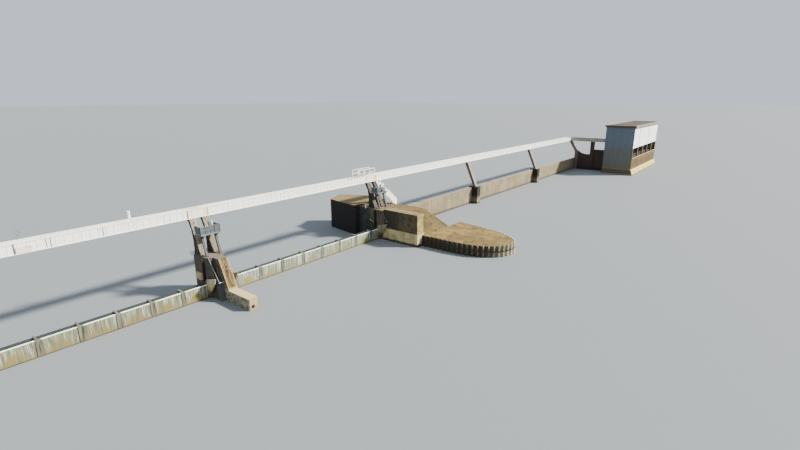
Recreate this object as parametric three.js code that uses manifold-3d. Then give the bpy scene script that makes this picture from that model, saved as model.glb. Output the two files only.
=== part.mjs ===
// River barrage with two gate bays, a long footbridge and a powerhouse, as a 1:10 scale model.
// Units are millimetres of the model, so 100 mm here is one metre of the real barrage.
// X runs along the footbridge towards the powerhouse, Y points upstream, Z is up from the tail water.
import * as THREE from "three";
import { mergeVertices } from "three/addons/utils/BufferGeometryUtils.js";
import Module from "manifold-3d";

const wasm = await Module();
wasm.setup();

// Levels above the foot of the structure.
const NOSE_TOP = 195;
const PILE_TOP = 240;
const LEDGE_TOP = 375;
const DYKE_TOP = 480;
const PIER_TOP = 668;
const QUAY_TOP = 700;
const HOIST_FLOOR = 1030;
const BRIDGE_FOOT = 1235;

// Plan: where the piers and legs stand along the bridge, and the bridge's own section.
const PIER_SPACING = 4190;
const PIER_1 = 3640;
const PIER_0 = PIER_1 - PIER_SPACING;
const PIER_2 = PIER_1 + PIER_SPACING;
const PIER_HALF = 170;
const QUAY_LEFT = 7615;
const LEG_A = 12230;
const LEG_B = 16760;
const KNEE = 21200;
const BRIDGE_WIDTH = 196;
const GIRDER_DEPTH = 145;

// Gates and the slots that they run in. For each gate in turn, the last post's distance from the right
// end of its bay, and the pitch of the posts.
const GATE_Y = -310;
const GATE_HEIGHT = 218;
const GATE_POSTS = 8;
const LAST_POST = [442, 287];
const POST_PITCH = [459, 484];
const SILL_TOP = 12;
const SLOT_DEPTH = 55;
const SLOT_HALF = 48;

// Powerhouse.
const HOUSE_X0 = 20680;
const HOUSE_X1 = 25150;
const HOUSE_Y0 = -2700;
const HOUSE_Y1 = -1590;
const HOUSE_WALL = 50;
const HOUSE_BASE_TOP = 230;
const HOUSE_SILL = 700;
const HOUSE_HEAD = 1090;
const HOUSE_UPPER_FLOOR = 1265;
const HOUSE_TOP = 1920;
const ROOF_THICK = 85;
const ROOF_LAP = 45;

// Clearance between pieces that touch in the real structure, and how far fused shapes run into each other.
const SEAT = 0.3;
const BITE = 5;

const concrete = new THREE.MeshStandardMaterial({ color: 0xa79f8e, roughness: 0.92, metalness: 0 });
const darkConcrete = new THREE.MeshStandardMaterial({ color: 0x6c665a, roughness: 0.95, metalness: 0 });
const buffConcrete = new THREE.MeshStandardMaterial({ color: 0xcbb88e, roughness: 0.9, metalness: 0 });
const paleConcrete = new THREE.MeshStandardMaterial({ color: 0xd9d7cf, roughness: 0.85, metalness: 0 });
const whitePaint = new THREE.MeshStandardMaterial({ color: 0xf3f3ee, roughness: 0.5, metalness: 0.1 });
const greySteel = new THREE.MeshStandardMaterial({ color: 0x9aa3a8, roughness: 0.6, metalness: 0.6 });
const gateSteel = new THREE.MeshStandardMaterial({ color: 0x9b9682, roughness: 0.75, metalness: 0.3 });
const pileSteel = new THREE.MeshStandardMaterial({ color: 0x6d6557, roughness: 0.85, metalness: 0.4 });

const barrage = new THREE.Group();

// A closed three.js shape as a solid that can be joined and cut.
function solid(geometry) {
  const bare = geometry.clone();
  bare.deleteAttribute("normal");
  bare.deleteAttribute("uv");
  const merged = mergeVertices(bare, 1e-3);
  return new wasm.Manifold(
    new wasm.Mesh({
      numProp: 3,
      vertProperties: new Float32Array(merged.attributes.position.array),
      triVerts: new Uint32Array(merged.index.array),
    }),
  );
}

// The solid's surface as a three.js geometry.
function surface(body) {
  const mesh = body.getMesh();
  const geometry = new THREE.BufferGeometry();
  geometry.setAttribute("position", new THREE.BufferAttribute(mesh.vertProperties, 3));
  geometry.setIndex(new THREE.BufferAttribute(mesh.triVerts, 1));
  geometry.computeVertexNormals();
  return geometry;
}

// Several shapes fused into one, a shape with others cut out of it, and what two shapes share.
function join(shapes) {
  return surface(shapes.map(solid).reduce((whole, next) => whole.add(next)));
}

function cut(shape, tools) {
  return surface(tools.map(solid).reduce((left, tool) => left.subtract(tool), solid(shape)));
}

function common(first, second) {
  return surface(solid(first).intersect(solid(second)));
}

// A block between two corners.
function block(x0, x1, y0, y1, z0, z1) {
  const geometry = new THREE.BoxGeometry(x1 - x0, y1 - y0, z1 - z0);
  return geometry.translate((x0 + x1) / 2, (y0 + y1) / 2, (z0 + z1) / 2);
}

function outline(points) {
  return new THREE.Shape(points.map(([a, b]) => new THREE.Vector2(a, b)));
}

// A side profile, given as [Y, Z] points, drawn out along X.
function alongX(profile, x0, x1) {
  const geometry = new THREE.ExtrudeGeometry(outline(profile), { depth: x1 - x0, bevelEnabled: false });
  const turn = new THREE.Matrix4().makeBasis(
    new THREE.Vector3(0, 1, 0),
    new THREE.Vector3(0, 0, 1),
    new THREE.Vector3(1, 0, 0),
  );
  return geometry.applyMatrix4(turn).translate(x0, 0, 0);
}

// A front profile, given as [X, Z] points, drawn out along Y.
function alongY(profile, y0, y1) {
  const geometry = new THREE.ExtrudeGeometry(outline(profile), { depth: y1 - y0, bevelEnabled: false });
  return geometry.rotateX(Math.PI / 2).translate(0, y1, 0);
}

// A plan, given as [X, Y] points, raised from z0 to z1.
function raised(plan, z0, z1) {
  const geometry = new THREE.ExtrudeGeometry(outline(plan), { depth: z1 - z0, bevelEnabled: false });
  return geometry.translate(0, 0, z0);
}

function piece(name, geometry, material, parent = barrage) {
  const mesh = new THREE.Mesh(geometry, material);
  mesh.name = name;
  parent.add(mesh);
  return mesh;
}

// A gate slot is an upright recess in a face that looks onto a bay. side is -1 or 1.
const SLOT_HEADROOM = 40;
function gateSlot(face, side) {
  const ends = [face - side * SLOT_DEPTH, face + side * BITE];
  return block(
    Math.min(...ends),
    Math.max(...ends),
    GATE_Y - SLOT_HALF,
    GATE_Y + SLOT_HALF,
    -BITE,
    PIER_TOP - SLOT_HEADROOM,
  );
}

// Portal frame that carries the bridge: two leaning uprights with an arm under the far girder, and a brace.
const FRAME_HALF = 160;
const UPRIGHT_WIDTH = 105;
const UPRIGHT_FOOT = [-250, -55];
const UPRIGHT_WAIST = [900, -58];
const UPRIGHT_SHOULDER = [1060, -32];
const UPRIGHT_HEAD = [-8, 42];
const ARM_DEPTH = 34;
const ARM_END = BRIDGE_WIDTH - 6;
const BRACE_DEPTH = 50;
function portalFrame() {
  const head = BRIDGE_FOOT - SEAT;
  const foot = PIER_TOP + SEAT;
  const profile = [
    [UPRIGHT_FOOT[0], foot],
    [UPRIGHT_FOOT[1], foot],
    [UPRIGHT_WAIST[1], UPRIGHT_WAIST[0]],
    [UPRIGHT_SHOULDER[1], UPRIGHT_SHOULDER[0]],
    [UPRIGHT_HEAD[1], head - ARM_DEPTH],
    [ARM_END, head - ARM_DEPTH / 2],
    [ARM_END, head],
    [UPRIGHT_HEAD[0], head],
  ];
  const braceTop = HOIST_FLOOR - BRACE_DEPTH / 2;
  return join([
    alongX(profile, -FRAME_HALF, -FRAME_HALF + UPRIGHT_WIDTH),
    alongX(profile, FRAME_HALF - UPRIGHT_WIDTH, FRAME_HALF),
    block(
      -FRAME_HALF + UPRIGHT_WIDTH - BITE,
      FRAME_HALF - UPRIGHT_WIDTH + BITE,
      UPRIGHT_WAIST[1] - BRACE_DEPTH / 2,
      UPRIGHT_WAIST[1] + BRACE_DEPTH / 3,
      braceTop - BRACE_DEPTH,
      braceTop,
    ),
  ]);
}

// Hoist platform on the downstream side of the frame, with its beams and raking struts.
const PLATFORM_HALF = 168;
const PLATFORM_FRONT = -345;
const PLATFORM_BACK = -146;
const PLATFORM_THICK = 18;
const PLATFORM_BEAM = 28;
const STRUT_X = 115;
const STRUT_WIDTH = 34;
const STRUT_DEPTH = 32;
const STRUT_TOP_Y = -245;
const STRUT_FOOT_Y = -355;
function rakingStrut(side) {
  const x = side * STRUT_X;
  const top = HOIST_FLOOR - PLATFORM_THICK / 2;
  const foot = PIER_TOP + SEAT;
  const half = STRUT_DEPTH / 2;
  const profile = [
    [STRUT_FOOT_Y - half, foot],
    [STRUT_FOOT_Y + half, foot],
    [STRUT_TOP_Y + half, top],
    [STRUT_TOP_Y - half, top],
  ];
  return alongX(profile, x - STRUT_WIDTH / 2, x + STRUT_WIDTH / 2);
}

function hoistPlatform() {
  const under = HOIST_FLOOR - PLATFORM_THICK;
  const floor = block(-PLATFORM_HALF, PLATFORM_HALF, PLATFORM_FRONT, PLATFORM_BACK, under, HOIST_FLOOR);
  const beams = [-1, 1].map((side) => {
    const x = side * STRUT_X;
    const half = PLATFORM_BEAM / 2;
    const foot = under - PLATFORM_BEAM;
    return block(x - half, x + half, PLATFORM_FRONT + BITE, PLATFORM_BACK, foot, under + 1);
  });
  return join([floor, ...beams, rakingStrut(-1), rakingStrut(1)]);
}

// Guard rail round three sides of the hoist platform.
const RAIL_HEIGHT = 125;
const RAIL = 7;
const RAIL_INSET = 5;
const FRONT_POSTS = 5;
function post(x, y, foot) {
  const half = RAIL / 2;
  return block(x - half, x + half, y - half, y + half, foot, foot + RAIL_HEIGHT);
}

function platformRail() {
  const foot = HOIST_FLOOR + SEAT;
  const half = RAIL / 2;
  const x1 = PLATFORM_HALF - RAIL_INSET;
  const y0 = PLATFORM_FRONT + RAIL_INSET;
  const y1 = PLATFORM_BACK - RAIL_INSET;
  const shapes = [];
  for (let i = 0; i < FRONT_POSTS; i++) {
    shapes.push(post(-x1 + (2 * x1 * i) / (FRONT_POSTS - 1), y0, foot));
  }
  for (const x of [-x1, x1]) {
    shapes.push(post(x, (y0 + y1) / 2, foot), post(x, y1, foot));
  }
  for (const z of [foot, foot + RAIL_HEIGHT / 2, foot + RAIL_HEIGHT - RAIL]) {
    shapes.push(block(-x1 - half, x1 + half, y0 - half, y0 + half, z, z + RAIL));
    for (const x of [-x1, x1]) {
      shapes.push(block(x - half, x + half, y0, y1 + half, z, z + RAIL));
    }
  }
  return join(shapes);
}

// Gate winch: two drum gearboxes joined by a shaft, and a control cabinet beside one of them.
const WINCH_X = 105;
const GEARBOX = [36, 34, 60];
const GEARBOX_LID = [22, 24, 96];
const DRUM_RADIUS = 26;
const DRUM_LENGTH = 96;
const SHAFT = 12;
const SHAFT_HEIGHT = 40;
const CABINET = [40, 30, 160];
function winch() {
  const floor = HOIST_FLOOR + SEAT;
  const y = (PLATFORM_FRONT + PLATFORM_BACK) / 2;
  const shaftZ = floor + SHAFT_HEIGHT;
  const [gearX, gearY, gearZ] = GEARBOX;
  const [lidX, lidY, lidZ] = GEARBOX_LID;
  const thick = SHAFT / 2;
  const shapes = [block(-WINCH_X, WINCH_X, y - thick, y + thick, shaftZ - thick, shaftZ + thick)];
  for (const x of [-WINCH_X, WINCH_X]) {
    const drum = new THREE.CylinderGeometry(DRUM_RADIUS, DRUM_RADIUS, DRUM_LENGTH, 16).rotateZ(Math.PI / 2);
    shapes.push(block(x - gearX, x + gearX, y - gearY, y + gearY, floor, floor + gearZ));
    shapes.push(block(x - lidX, x + lidX, y - lidY, y + lidY, floor + gearZ - BITE, floor + lidZ));
    shapes.push(drum.translate(x, y, floor + gearZ));
  }
  const [cabinetX, cabinetY, cabinetZ] = CABINET;
  const cabinetEnd = WINCH_X - gearX + BITE;
  shapes.push(block(cabinetEnd - cabinetX, cabinetEnd, y, y + cabinetY, floor, floor + cabinetZ));
  return join(shapes);
}

// Everything above a pier's top, alike on all three piers.
function pierSuperstructure(name, group) {
  piece(name + "_portal_frame", portalFrame(), concrete, group);
  piece(name + "_hoist_platform", hoistPlatform(), greySteel, group);
  piece(name + "_platform_rail", platformRail(), greySteel, group);
  piece(name + "_winch", winch(), greySteel, group);
}

// River pier: slotted trunk with a round upstream end, a narrower raked buttress and a low nose.
const TRUNK_BACK = -60;
const TRUNK_FRONT_TOP = -455;
const TRUNK_FRONT_FOOT = -713;
const TRUNK_FRONT_HALF = 138;
const CHAMFER_START = -385;
const BUTTRESS_HALF = 80;
const BUTTRESS_TOP_Y = -620;
const BUTTRESS_FOOT_Y = -835;
const NOSE_END = -1355;
const NOSE_CHAMFER = 14;
const LEDGE = [38, 105];
const LEDGE_Y = [-255, -95];
function riverPierBody() {
  const trunkProfile = [
    [TRUNK_BACK, 0],
    [TRUNK_BACK, PIER_TOP],
    [TRUNK_FRONT_TOP, PIER_TOP],
    [TRUNK_FRONT_FOOT, 0],
  ];
  const trunkPlan = [
    [-PIER_HALF, TRUNK_BACK],
    [-PIER_HALF, CHAMFER_START],
    [-TRUNK_FRONT_HALF, TRUNK_FRONT_TOP],
    [-TRUNK_FRONT_HALF, TRUNK_FRONT_FOOT],
    [TRUNK_FRONT_HALF, TRUNK_FRONT_FOOT],
    [TRUNK_FRONT_HALF, TRUNK_FRONT_TOP],
    [PIER_HALF, CHAMFER_START],
    [PIER_HALF, TRUNK_BACK],
  ];
  const trunk = common(alongX(trunkProfile, -PIER_HALF, PIER_HALF), raised(trunkPlan, 0, PIER_TOP));
  const roundEnd = new THREE.CylinderGeometry(PIER_HALF, PIER_HALF, PIER_TOP, 32)
    .rotateX(Math.PI / 2)
    .translate(0, TRUNK_BACK, PIER_TOP / 2);
  const buttress = alongX(
    [
      [TRUNK_FRONT_TOP + BITE, 0],
      [TRUNK_FRONT_TOP + BITE, PIER_TOP],
      [BUTTRESS_TOP_Y, PIER_TOP],
      [BUTTRESS_FOOT_Y, NOSE_TOP],
      [BUTTRESS_FOOT_Y, 0],
    ],
    -BUTTRESS_HALF,
    BUTTRESS_HALF,
  );
  const nose = raised(
    [
      [-BUTTRESS_HALF, BUTTRESS_FOOT_Y + BITE],
      [-BUTTRESS_HALF, NOSE_END + NOSE_CHAMFER],
      [-BUTTRESS_HALF + NOSE_CHAMFER, NOSE_END],
      [BUTTRESS_HALF - NOSE_CHAMFER, NOSE_END],
      [BUTTRESS_HALF, NOSE_END + NOSE_CHAMFER],
      [BUTTRESS_HALF, BUTTRESS_FOOT_Y + BITE],
    ],
    0,
    NOSE_TOP,
  );
  const [ledgeOut, ledgeDepth] = LEDGE;
  const ledgeEnd = PIER_HALF + ledgeOut;
  const ledges = block(-ledgeEnd, ledgeEnd, ...LEDGE_Y, LEDGE_TOP - ledgeDepth, LEDGE_TOP);
  const whole = join([trunk, roundEnd, buttress, nose, ledges]);
  return cut(whole, [gateSlot(-PIER_HALF, -1), gateSlot(PIER_HALF, 1)]);
}

function riverPier(name, x) {
  const group = new THREE.Group();
  group.position.x = x;
  barrage.add(group);
  piece(name + "_body", riverPierBody(), buffConcrete, group);
  pierSuperstructure(name, group);
}

riverPier("pier_0", PIER_0);
riverPier("pier_1", PIER_1);

// Abutment pier: the third pier stands in the corner of the quay.
const ABUTMENT_BACK = 205;
const ABUTMENT_FRONT = -545;
const ABUTMENT_LEFT = QUAY_LEFT - PIER_2;
const abutment = block(ABUTMENT_LEFT, PIER_HALF, ABUTMENT_FRONT, ABUTMENT_BACK, 0, PIER_TOP);
const abutmentPier = new THREE.Group();
abutmentPier.position.x = PIER_2;
barrage.add(abutmentPier);
piece("pier_2_body", cut(abutment, [gateSlot(ABUTMENT_LEFT, -1)]), darkConcrete, abutmentPier);
pierSuperstructure("pier_2", abutmentPier);

// Downstream quay: a thick wall with a coping, stepped out near the water.
const QUAY_FRONT = -1500;
const QUAY_WALL = 215;
const QUAY_BATTER = 20;
const COPING_LAP = 8;
const COPING_DEPTH = 25;
const STEP_TOP = 280;
const STEP_BACK = -800;
const STEP_RISE = 60;
const STEP_OUT = 5;
const wallX = QUAY_LEFT + QUAY_BATTER;
const wallEnd = ABUTMENT_FRONT - SEAT;
const stepEnd = wallX + QUAY_WALL + QUAY_BATTER;
piece(
  "quay_wall",
  join([
    block(wallX, wallX + QUAY_WALL, QUAY_FRONT + QUAY_BATTER, wallEnd, 0, QUAY_TOP - COPING_DEPTH),
    block(QUAY_LEFT - STEP_OUT, stepEnd, QUAY_FRONT, STEP_BACK, 0, STEP_TOP),
    alongX(
      [
        [wallEnd, 0],
        [wallEnd, STEP_TOP + STEP_RISE],
        [STEP_BACK - BITE, STEP_TOP],
        [STEP_BACK - BITE, 0],
      ],
      QUAY_LEFT - STEP_OUT,
      wallX + BITE,
    ),
    block(
      wallX - COPING_LAP,
      wallX + QUAY_WALL + COPING_LAP,
      QUAY_FRONT + QUAY_BATTER - COPING_LAP,
      wallEnd,
      QUAY_TOP - COPING_DEPTH,
      QUAY_TOP,
    ),
  ]),
  darkConcrete,
);

// Filled yard behind the wall: level beside the pier, then falling to the nose deck and away from the wall.
const YARD_BACK_X = 8760;
const YARD_TOP = QUAY_TOP - 8;
const YARD_LOW = 560;
const YARD_BACK = 200;
const YARD_BREAK = -600;
const YARD_TOE = -1540;
const yardX = stepEnd + SEAT;
const yardFall = (YARD_TOP - YARD_LOW) / (YARD_BACK_X - yardX);
function yardLevel(x) {
  return YARD_TOP - (x - yardX) * yardFall;
}

const yardPlan = [
  [yardX, YARD_TOE],
  [YARD_BACK_X, YARD_TOE],
  [YARD_BACK_X, YARD_BACK],
  [PIER_2 + PIER_HALF + SEAT, YARD_BACK],
  [PIER_2 + PIER_HALF + SEAT, wallEnd],
  [yardX, wallEnd],
];
const yardProfile = [
  [YARD_BACK + BITE, 0],
  [YARD_BACK + BITE, YARD_TOP],
  [YARD_BREAK, YARD_TOP],
  [YARD_TOE, PILE_TOP],
  [YARD_TOE, 0],
];
const overYard = alongY(
  [
    [yardX, YARD_TOP],
    [YARD_BACK_X + BITE, yardLevel(YARD_BACK_X + BITE)],
    [YARD_BACK_X + BITE, YARD_TOP + BITE],
    [yardX, YARD_TOP + BITE],
  ],
  YARD_TOE - BITE,
  YARD_BACK + BITE,
);
piece(
  "quay_yard",
  cut(common(raised(yardPlan, 0, YARD_TOP), alongX(yardProfile, yardX, YARD_BACK_X)), [overYard]),
  concrete,
);

// Upstream quay: a block with a pointed plan that reaches into the upper pool.
const upstreamPlan = [
  [7490, ABUTMENT_BACK + SEAT],
  [7545, 640],
  [7640, 1190],
  [8210, 1440],
  [8510, 840],
  [8540, ABUTMENT_BACK + SEAT],
];
piece("upstream_quay", raised(upstreamPlan, 0, QUAY_TOP), darkConcrete);

// Sheet pile wall around the low nose, and the filled deck inside it.
const PILE_PITCH = 110;
const PILE_DEPTH = 32;
const PILE_THICK = 14;
const PILE_LAP = 60;
const DECK_STEPS = 36;
const DECK_TOP = PILE_TOP - 4;
const pileLine = new THREE.CatmullRomCurve3(
  [
    [7800, QUAY_FRONT + PILE_LAP],
    [7830, -2450],
    [7935, -2870],
    [8200, -3180],
    [8620, -3250],
    [8975, -2850],
    [9140, -2210],
    [9290, YARD_TOE + PILE_LAP],
  ].map(([x, y]) => new THREE.Vector3(x, y, 0)),
  false,
  "centripetal",
);

// The point that lies t of the way along the pile line, moved out from the fill by the given distance.
function besidePiles(t, out) {
  const p = pileLine.getPointAt(t);
  const along = pileLine.getTangentAt(t);
  return [p.x + along.y * out, p.y - along.x * out];
}

const pileSteps = Math.round(pileLine.getLength() / PILE_PITCH) * 4;
const pileOuter = [];
const pileInner = [];
for (let i = 0; i <= pileSteps; i++) {
  const bulge = i % 4 === 1 || i % 4 === 2 ? PILE_DEPTH : 0;
  pileOuter.push(besidePiles(i / pileSteps, bulge));
  pileInner.push(besidePiles(i / pileSteps, bulge - PILE_THICK));
}
// The wall and the deck stop at the faces of the quay wall and the yard.
const aboveDeck = PILE_TOP + BITE;
const landSide = [
  block(yardX - 2 * QUAY_WALL, yardX, QUAY_FRONT - SEAT, YARD_BREAK, -BITE, aboveDeck),
  block(yardX - BITE, YARD_BACK_X + 4 * QUAY_WALL, YARD_TOE - SEAT, YARD_BREAK, -BITE, aboveDeck),
];
const pilePlan = [...pileOuter, ...pileInner.reverse()];
piece("sheet_pile_wall", cut(raised(pilePlan, 0, PILE_TOP), landSide), pileSteel);
const deckEdge = [];
for (let i = 0; i <= DECK_STEPS; i++) {
  deckEdge.push(besidePiles(i / DECK_STEPS, -PILE_THICK - 1));
}
piece("nose_deck", cut(raised(deckEdge, 0, DECK_TOP), landSide), concrete);

// Access stair beside the bridge, down to the yard, between two deep plate sides.
const STAIR_TOP_X = PIER_2 + PIER_HALF - 5;
const STAIR_FOOT_X = 8660;
const STAIR_WIDTH = 88;
const STAIR_PLATE = 6;
const STAIR_DEPTH = 140;
const STAIR_TOP_Z = 1252;
const STAIR_FOOT_RISE = 128;
const STAIR_HEEL_BACK = 70;
const TREADS = 18;
const TREAD = [30, 5];
const stairFootZ = yardLevel(STAIR_FOOT_X) + SEAT;
const stairSlope = (STAIR_TOP_Z - stairFootZ - STAIR_FOOT_RISE) / (STAIR_FOOT_X - STAIR_TOP_X);
// Where the lower edge of the sides meets the yard.
const heelRun = (STAIR_DEPTH - STAIR_FOOT_RISE) / (stairSlope - yardFall);
const stairHeelX = STAIR_FOOT_X - STAIR_HEEL_BACK + heelRun;
const stairSides = [-STAIR_WIDTH, -STAIR_PLATE].map((y) =>
  alongY(
    [
      [STAIR_TOP_X, STAIR_TOP_Z - STAIR_DEPTH],
      [stairHeelX, yardLevel(stairHeelX) + SEAT],
      [STAIR_FOOT_X, stairFootZ],
      [STAIR_FOOT_X, stairFootZ + STAIR_FOOT_RISE],
      [STAIR_TOP_X, STAIR_TOP_Z],
    ],
    y - SEAT,
    y - SEAT + STAIR_PLATE,
  ),
);
const treads = [];
for (let i = 0; i < TREADS; i++) {
  const t = (i + 0.5) / TREADS;
  const x = STAIR_TOP_X + (STAIR_FOOT_X - STAIR_TOP_X) * t;
  const z = STAIR_TOP_Z - STAIR_DEPTH / 4 + (stairFootZ - STAIR_TOP_Z + STAIR_DEPTH / 2) * t;
  const [treadDepth, treadThick] = TREAD;
  treads.push(block(x - treadDepth / 2, x + treadDepth / 2, -STAIR_WIDTH, -BITE, z - treadThick, z));
}
piece("access_stair", join([...stairSides, ...treads]), whitePaint);

// Gate leaf: a long box that is open below, with the skin upstream, a face plate downstream and a crest
// plate over both. Webs inside it end above the crest as posts that split the flow. Carriages run in
// the slots, and a wing closes each end.
const SKIN = [8, 22];
const FACE_PLATE = [-95, -85];
const CREST_PLATE = 14;
const LEAF_INSET = 12;
const POST_HALF_WIDTH = 10;
const POST_FRONT = -101;
const SPLITTER_HEIGHT = 22;
const LEAF_CLEARANCE = 8;
const CARRIAGE = [22, 40];
const CARRIAGE_LAP = 2;
const WING_X = 22;
const WING_THICK = 18;
const WING_ROOT = SKIN[0] + BITE;
const wingProfile = [
  [WING_ROOT, 0],
  [-40, 0],
  [-155, 50],
  [-330, 283],
  [-365, 373],
  [-85, 303],
  [WING_ROOT, 200],
];
function gate(name, bayX0, bayX1, lastPost, postPitch) {
  const group = new THREE.Group();
  group.position.set((bayX0 + bayX1) / 2, GATE_Y, SILL_TOP + SEAT);
  barrage.add(group);
  const half = (bayX1 - bayX0) / 2;
  const reach = half + SLOT_DEPTH - LEAF_CLEARANCE;
  const end = half - LEAF_INSET;
  const shapes = [
    block(-reach, reach, ...SKIN, 0, GATE_HEIGHT),
    block(-end, end, ...FACE_PLATE, 0, GATE_HEIGHT),
    block(-end, end, FACE_PLATE[0], SKIN[1], GATE_HEIGHT - CREST_PLATE, GATE_HEIGHT),
  ];
  for (let i = 0; i < GATE_POSTS; i++) {
    const x = half - lastPost - i * postPitch;
    const [x0, x1] = [x - POST_HALF_WIDTH, x + POST_HALF_WIDTH];
    shapes.push(block(x0, x1, POST_FRONT, WING_ROOT, 0, GATE_HEIGHT + SPLITTER_HEIGHT));
  }
  const [carriageHalf, carriageBack] = CARRIAGE;
  for (const side of [-1, 1]) {
    const wingMid = side * (half - WING_X);
    shapes.push(alongX(wingProfile, wingMid - WING_THICK / 2, wingMid + WING_THICK / 2));
    const x = side * (half + SLOT_DEPTH / 2 - LEAF_CLEARANCE / 2);
    const [x0, x1] = [x - carriageHalf, x + carriageHalf];
    shapes.push(block(x0, x1, SKIN[1] - CARRIAGE_LAP, carriageBack, BITE, GATE_HEIGHT - BITE));
  }
  piece(name + "_leaf", join(shapes), gateSteel, group);
}

const SILL_HALF = 100;
function sill(name, bayX0, bayX1) {
  const [y0, y1] = [GATE_Y - SILL_HALF, GATE_Y + SILL_HALF];
  piece(name, block(bayX0 + SEAT, bayX1 - SEAT, y0, y1, 0, SILL_TOP), darkConcrete);
}

const bays = [
  [PIER_0 + PIER_HALF, PIER_1 - PIER_HALF],
  [PIER_1 + PIER_HALF, QUAY_LEFT],
];
bays.forEach(([x0, x1], i) => {
  gate("gate_" + (i + 1), x0, x1, LAST_POST[i], POST_PITCH[i]);
  sill("sill_" + (i + 1), x0, x1);
});

// Footbridge: two plate girders with flanges that stand up beside a deck, as one trough.
const WEB = 12;
const FLANGE = 24;
const FLANGE_THICK = 8;
const DECK_LEVEL = 35;
const webFace = (FLANGE - WEB) / 2;
const troughProfile = [
  [0, 0],
  [BRIDGE_WIDTH, 0],
  [BRIDGE_WIDTH, FLANGE_THICK],
  [BRIDGE_WIDTH - webFace, FLANGE_THICK],
  [BRIDGE_WIDTH - webFace, GIRDER_DEPTH - FLANGE_THICK],
  [BRIDGE_WIDTH, GIRDER_DEPTH - FLANGE_THICK],
  [BRIDGE_WIDTH, GIRDER_DEPTH],
  [BRIDGE_WIDTH - FLANGE, GIRDER_DEPTH],
  [BRIDGE_WIDTH - FLANGE, GIRDER_DEPTH - FLANGE_THICK],
  [BRIDGE_WIDTH - webFace - WEB, GIRDER_DEPTH - FLANGE_THICK],
  [BRIDGE_WIDTH - webFace - WEB, DECK_LEVEL],
  [webFace + WEB, DECK_LEVEL],
  [webFace + WEB, GIRDER_DEPTH - FLANGE_THICK],
  [FLANGE, GIRDER_DEPTH - FLANGE_THICK],
  [FLANGE, GIRDER_DEPTH],
  [0, GIRDER_DEPTH],
  [0, GIRDER_DEPTH - FLANGE_THICK],
  [webFace, GIRDER_DEPTH - FLANGE_THICK],
  [webFace, FLANGE_THICK],
  [0, FLANGE_THICK],
];
function bridgeSection(name, x0, x1) {
  const profile = troughProfile.map(([y, z]) => [y, z + BRIDGE_FOOT]);
  piece(name, alongX(profile, x0 + SEAT / 2, x1 - SEAT / 2), whitePaint);
}

// A short section sits on each pier, and longer spans run between them and on over the two legs.
const BRIDGE_OVERHANG = 10;
[PIER_0, PIER_1, PIER_2].forEach((x, i) => {
  const start = i === 0 ? x - PIER_HALF - BRIDGE_OVERHANG : x - PIER_HALF;
  bridgeSection("footbridge_pier_section_" + i, start, x + PIER_HALF);
});
const spans = [
  [PIER_0 + PIER_HALF, PIER_1 - PIER_HALF],
  [PIER_1 + PIER_HALF, PIER_2 - PIER_HALF],
  [PIER_2 + PIER_HALF, LEG_A],
  [LEG_A, LEG_B],
  [LEG_B, KNEE],
];
spans.forEach(([x0, x1], i) => bridgeSection("footbridge_span_" + (i + 1), x0, x1));

// Return span: the bridge turns at the knee and runs downstream to the powerhouse.
const returnProfile = troughProfile.map(([x, z]) => [KNEE + SEAT + x, z + BRIDGE_FOOT]);
const kneeWay = block(
  KNEE - BITE,
  KNEE + BRIDGE_WIDTH - FLANGE,
  FLANGE,
  BRIDGE_WIDTH - FLANGE,
  BRIDGE_FOOT + DECK_LEVEL,
  BRIDGE_FOOT + GIRDER_DEPTH + BITE,
);
piece(
  "footbridge_return_span",
  join([
    cut(alongY(returnProfile, HOUSE_Y1 + SEAT, BRIDGE_WIDTH), [kneeWay]),
    block(
      KNEE + SEAT,
      KNEE + BRIDGE_WIDTH,
      BRIDGE_WIDTH - webFace - WEB,
      BRIDGE_WIDTH - webFace,
      BRIDGE_FOOT,
      BRIDGE_FOOT + GIRDER_DEPTH,
    ),
  ]),
  whitePaint,
);

// Open frame over the bridge at the abutment pier: posts, slimmer rails, and a switch box on the near side.
const GANTRY_X = [7410, 7610, 7970];
const GANTRY_HEIGHT = 165;
const GANTRY_RAIL = 80;
const POST_HALF = 6;
const RAIL_HALF = 5;
const TIE_HALF = 4;
const SWITCH_BOX = [7660, 7770];
const SWITCH_BOX_Y = [3, 38];
function gantry() {
  const foot = BRIDGE_FOOT + GIRDER_DEPTH + SEAT;
  const top = foot + GANTRY_HEIGHT;
  const railLevels = [foot + GANTRY_RAIL, top - POST_HALF];
  const sides = [FLANGE / 2, BRIDGE_WIDTH - FLANGE / 2];
  const [firstX, , lastX] = GANTRY_X;
  const shapes = [];
  for (const y of sides) {
    for (const x of GANTRY_X) {
      shapes.push(block(x - POST_HALF, x + POST_HALF, y - POST_HALF, y + POST_HALF, foot, top));
    }
    for (const z of railLevels) {
      const [y0, y1] = [y - RAIL_HALF, y + RAIL_HALF];
      shapes.push(block(firstX, lastX, y0, y1, z - RAIL_HALF, z + RAIL_HALF));
    }
  }
  for (const x of GANTRY_X) {
    const z = railLevels[1];
    shapes.push(block(x - TIE_HALF, x + TIE_HALF, ...sides, z - TIE_HALF, z + TIE_HALF));
  }
  shapes.push(block(...SWITCH_BOX, ...SWITCH_BOX_Y, ...railLevels));
  return join(shapes);
}
piece("deck_gantry", gantry(), greySteel);

// Single raking legs on plinths along the dyke.
const LEG_HALF = 52;
const LEG_FOOT = [-307, -217];
const LEG_HEAD = [15, 115];
const PLINTH_HALF = 90;
const PLINTH = [-392, -92];
const PLINTH_RISE = 30;
function leg(name, x) {
  const foot = DYKE_TOP + PLINTH_RISE;
  const head = BRIDGE_FOOT - SEAT;
  const profile = [
    [LEG_FOOT[0], foot],
    [LEG_FOOT[1], foot],
    [LEG_HEAD[1], head],
    [LEG_HEAD[0], head],
  ];
  piece(name, alongX(profile, x - LEG_HALF, x + LEG_HALF), concrete);
}
leg("leg_a", LEG_A);
leg("leg_b", LEG_B);

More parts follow.
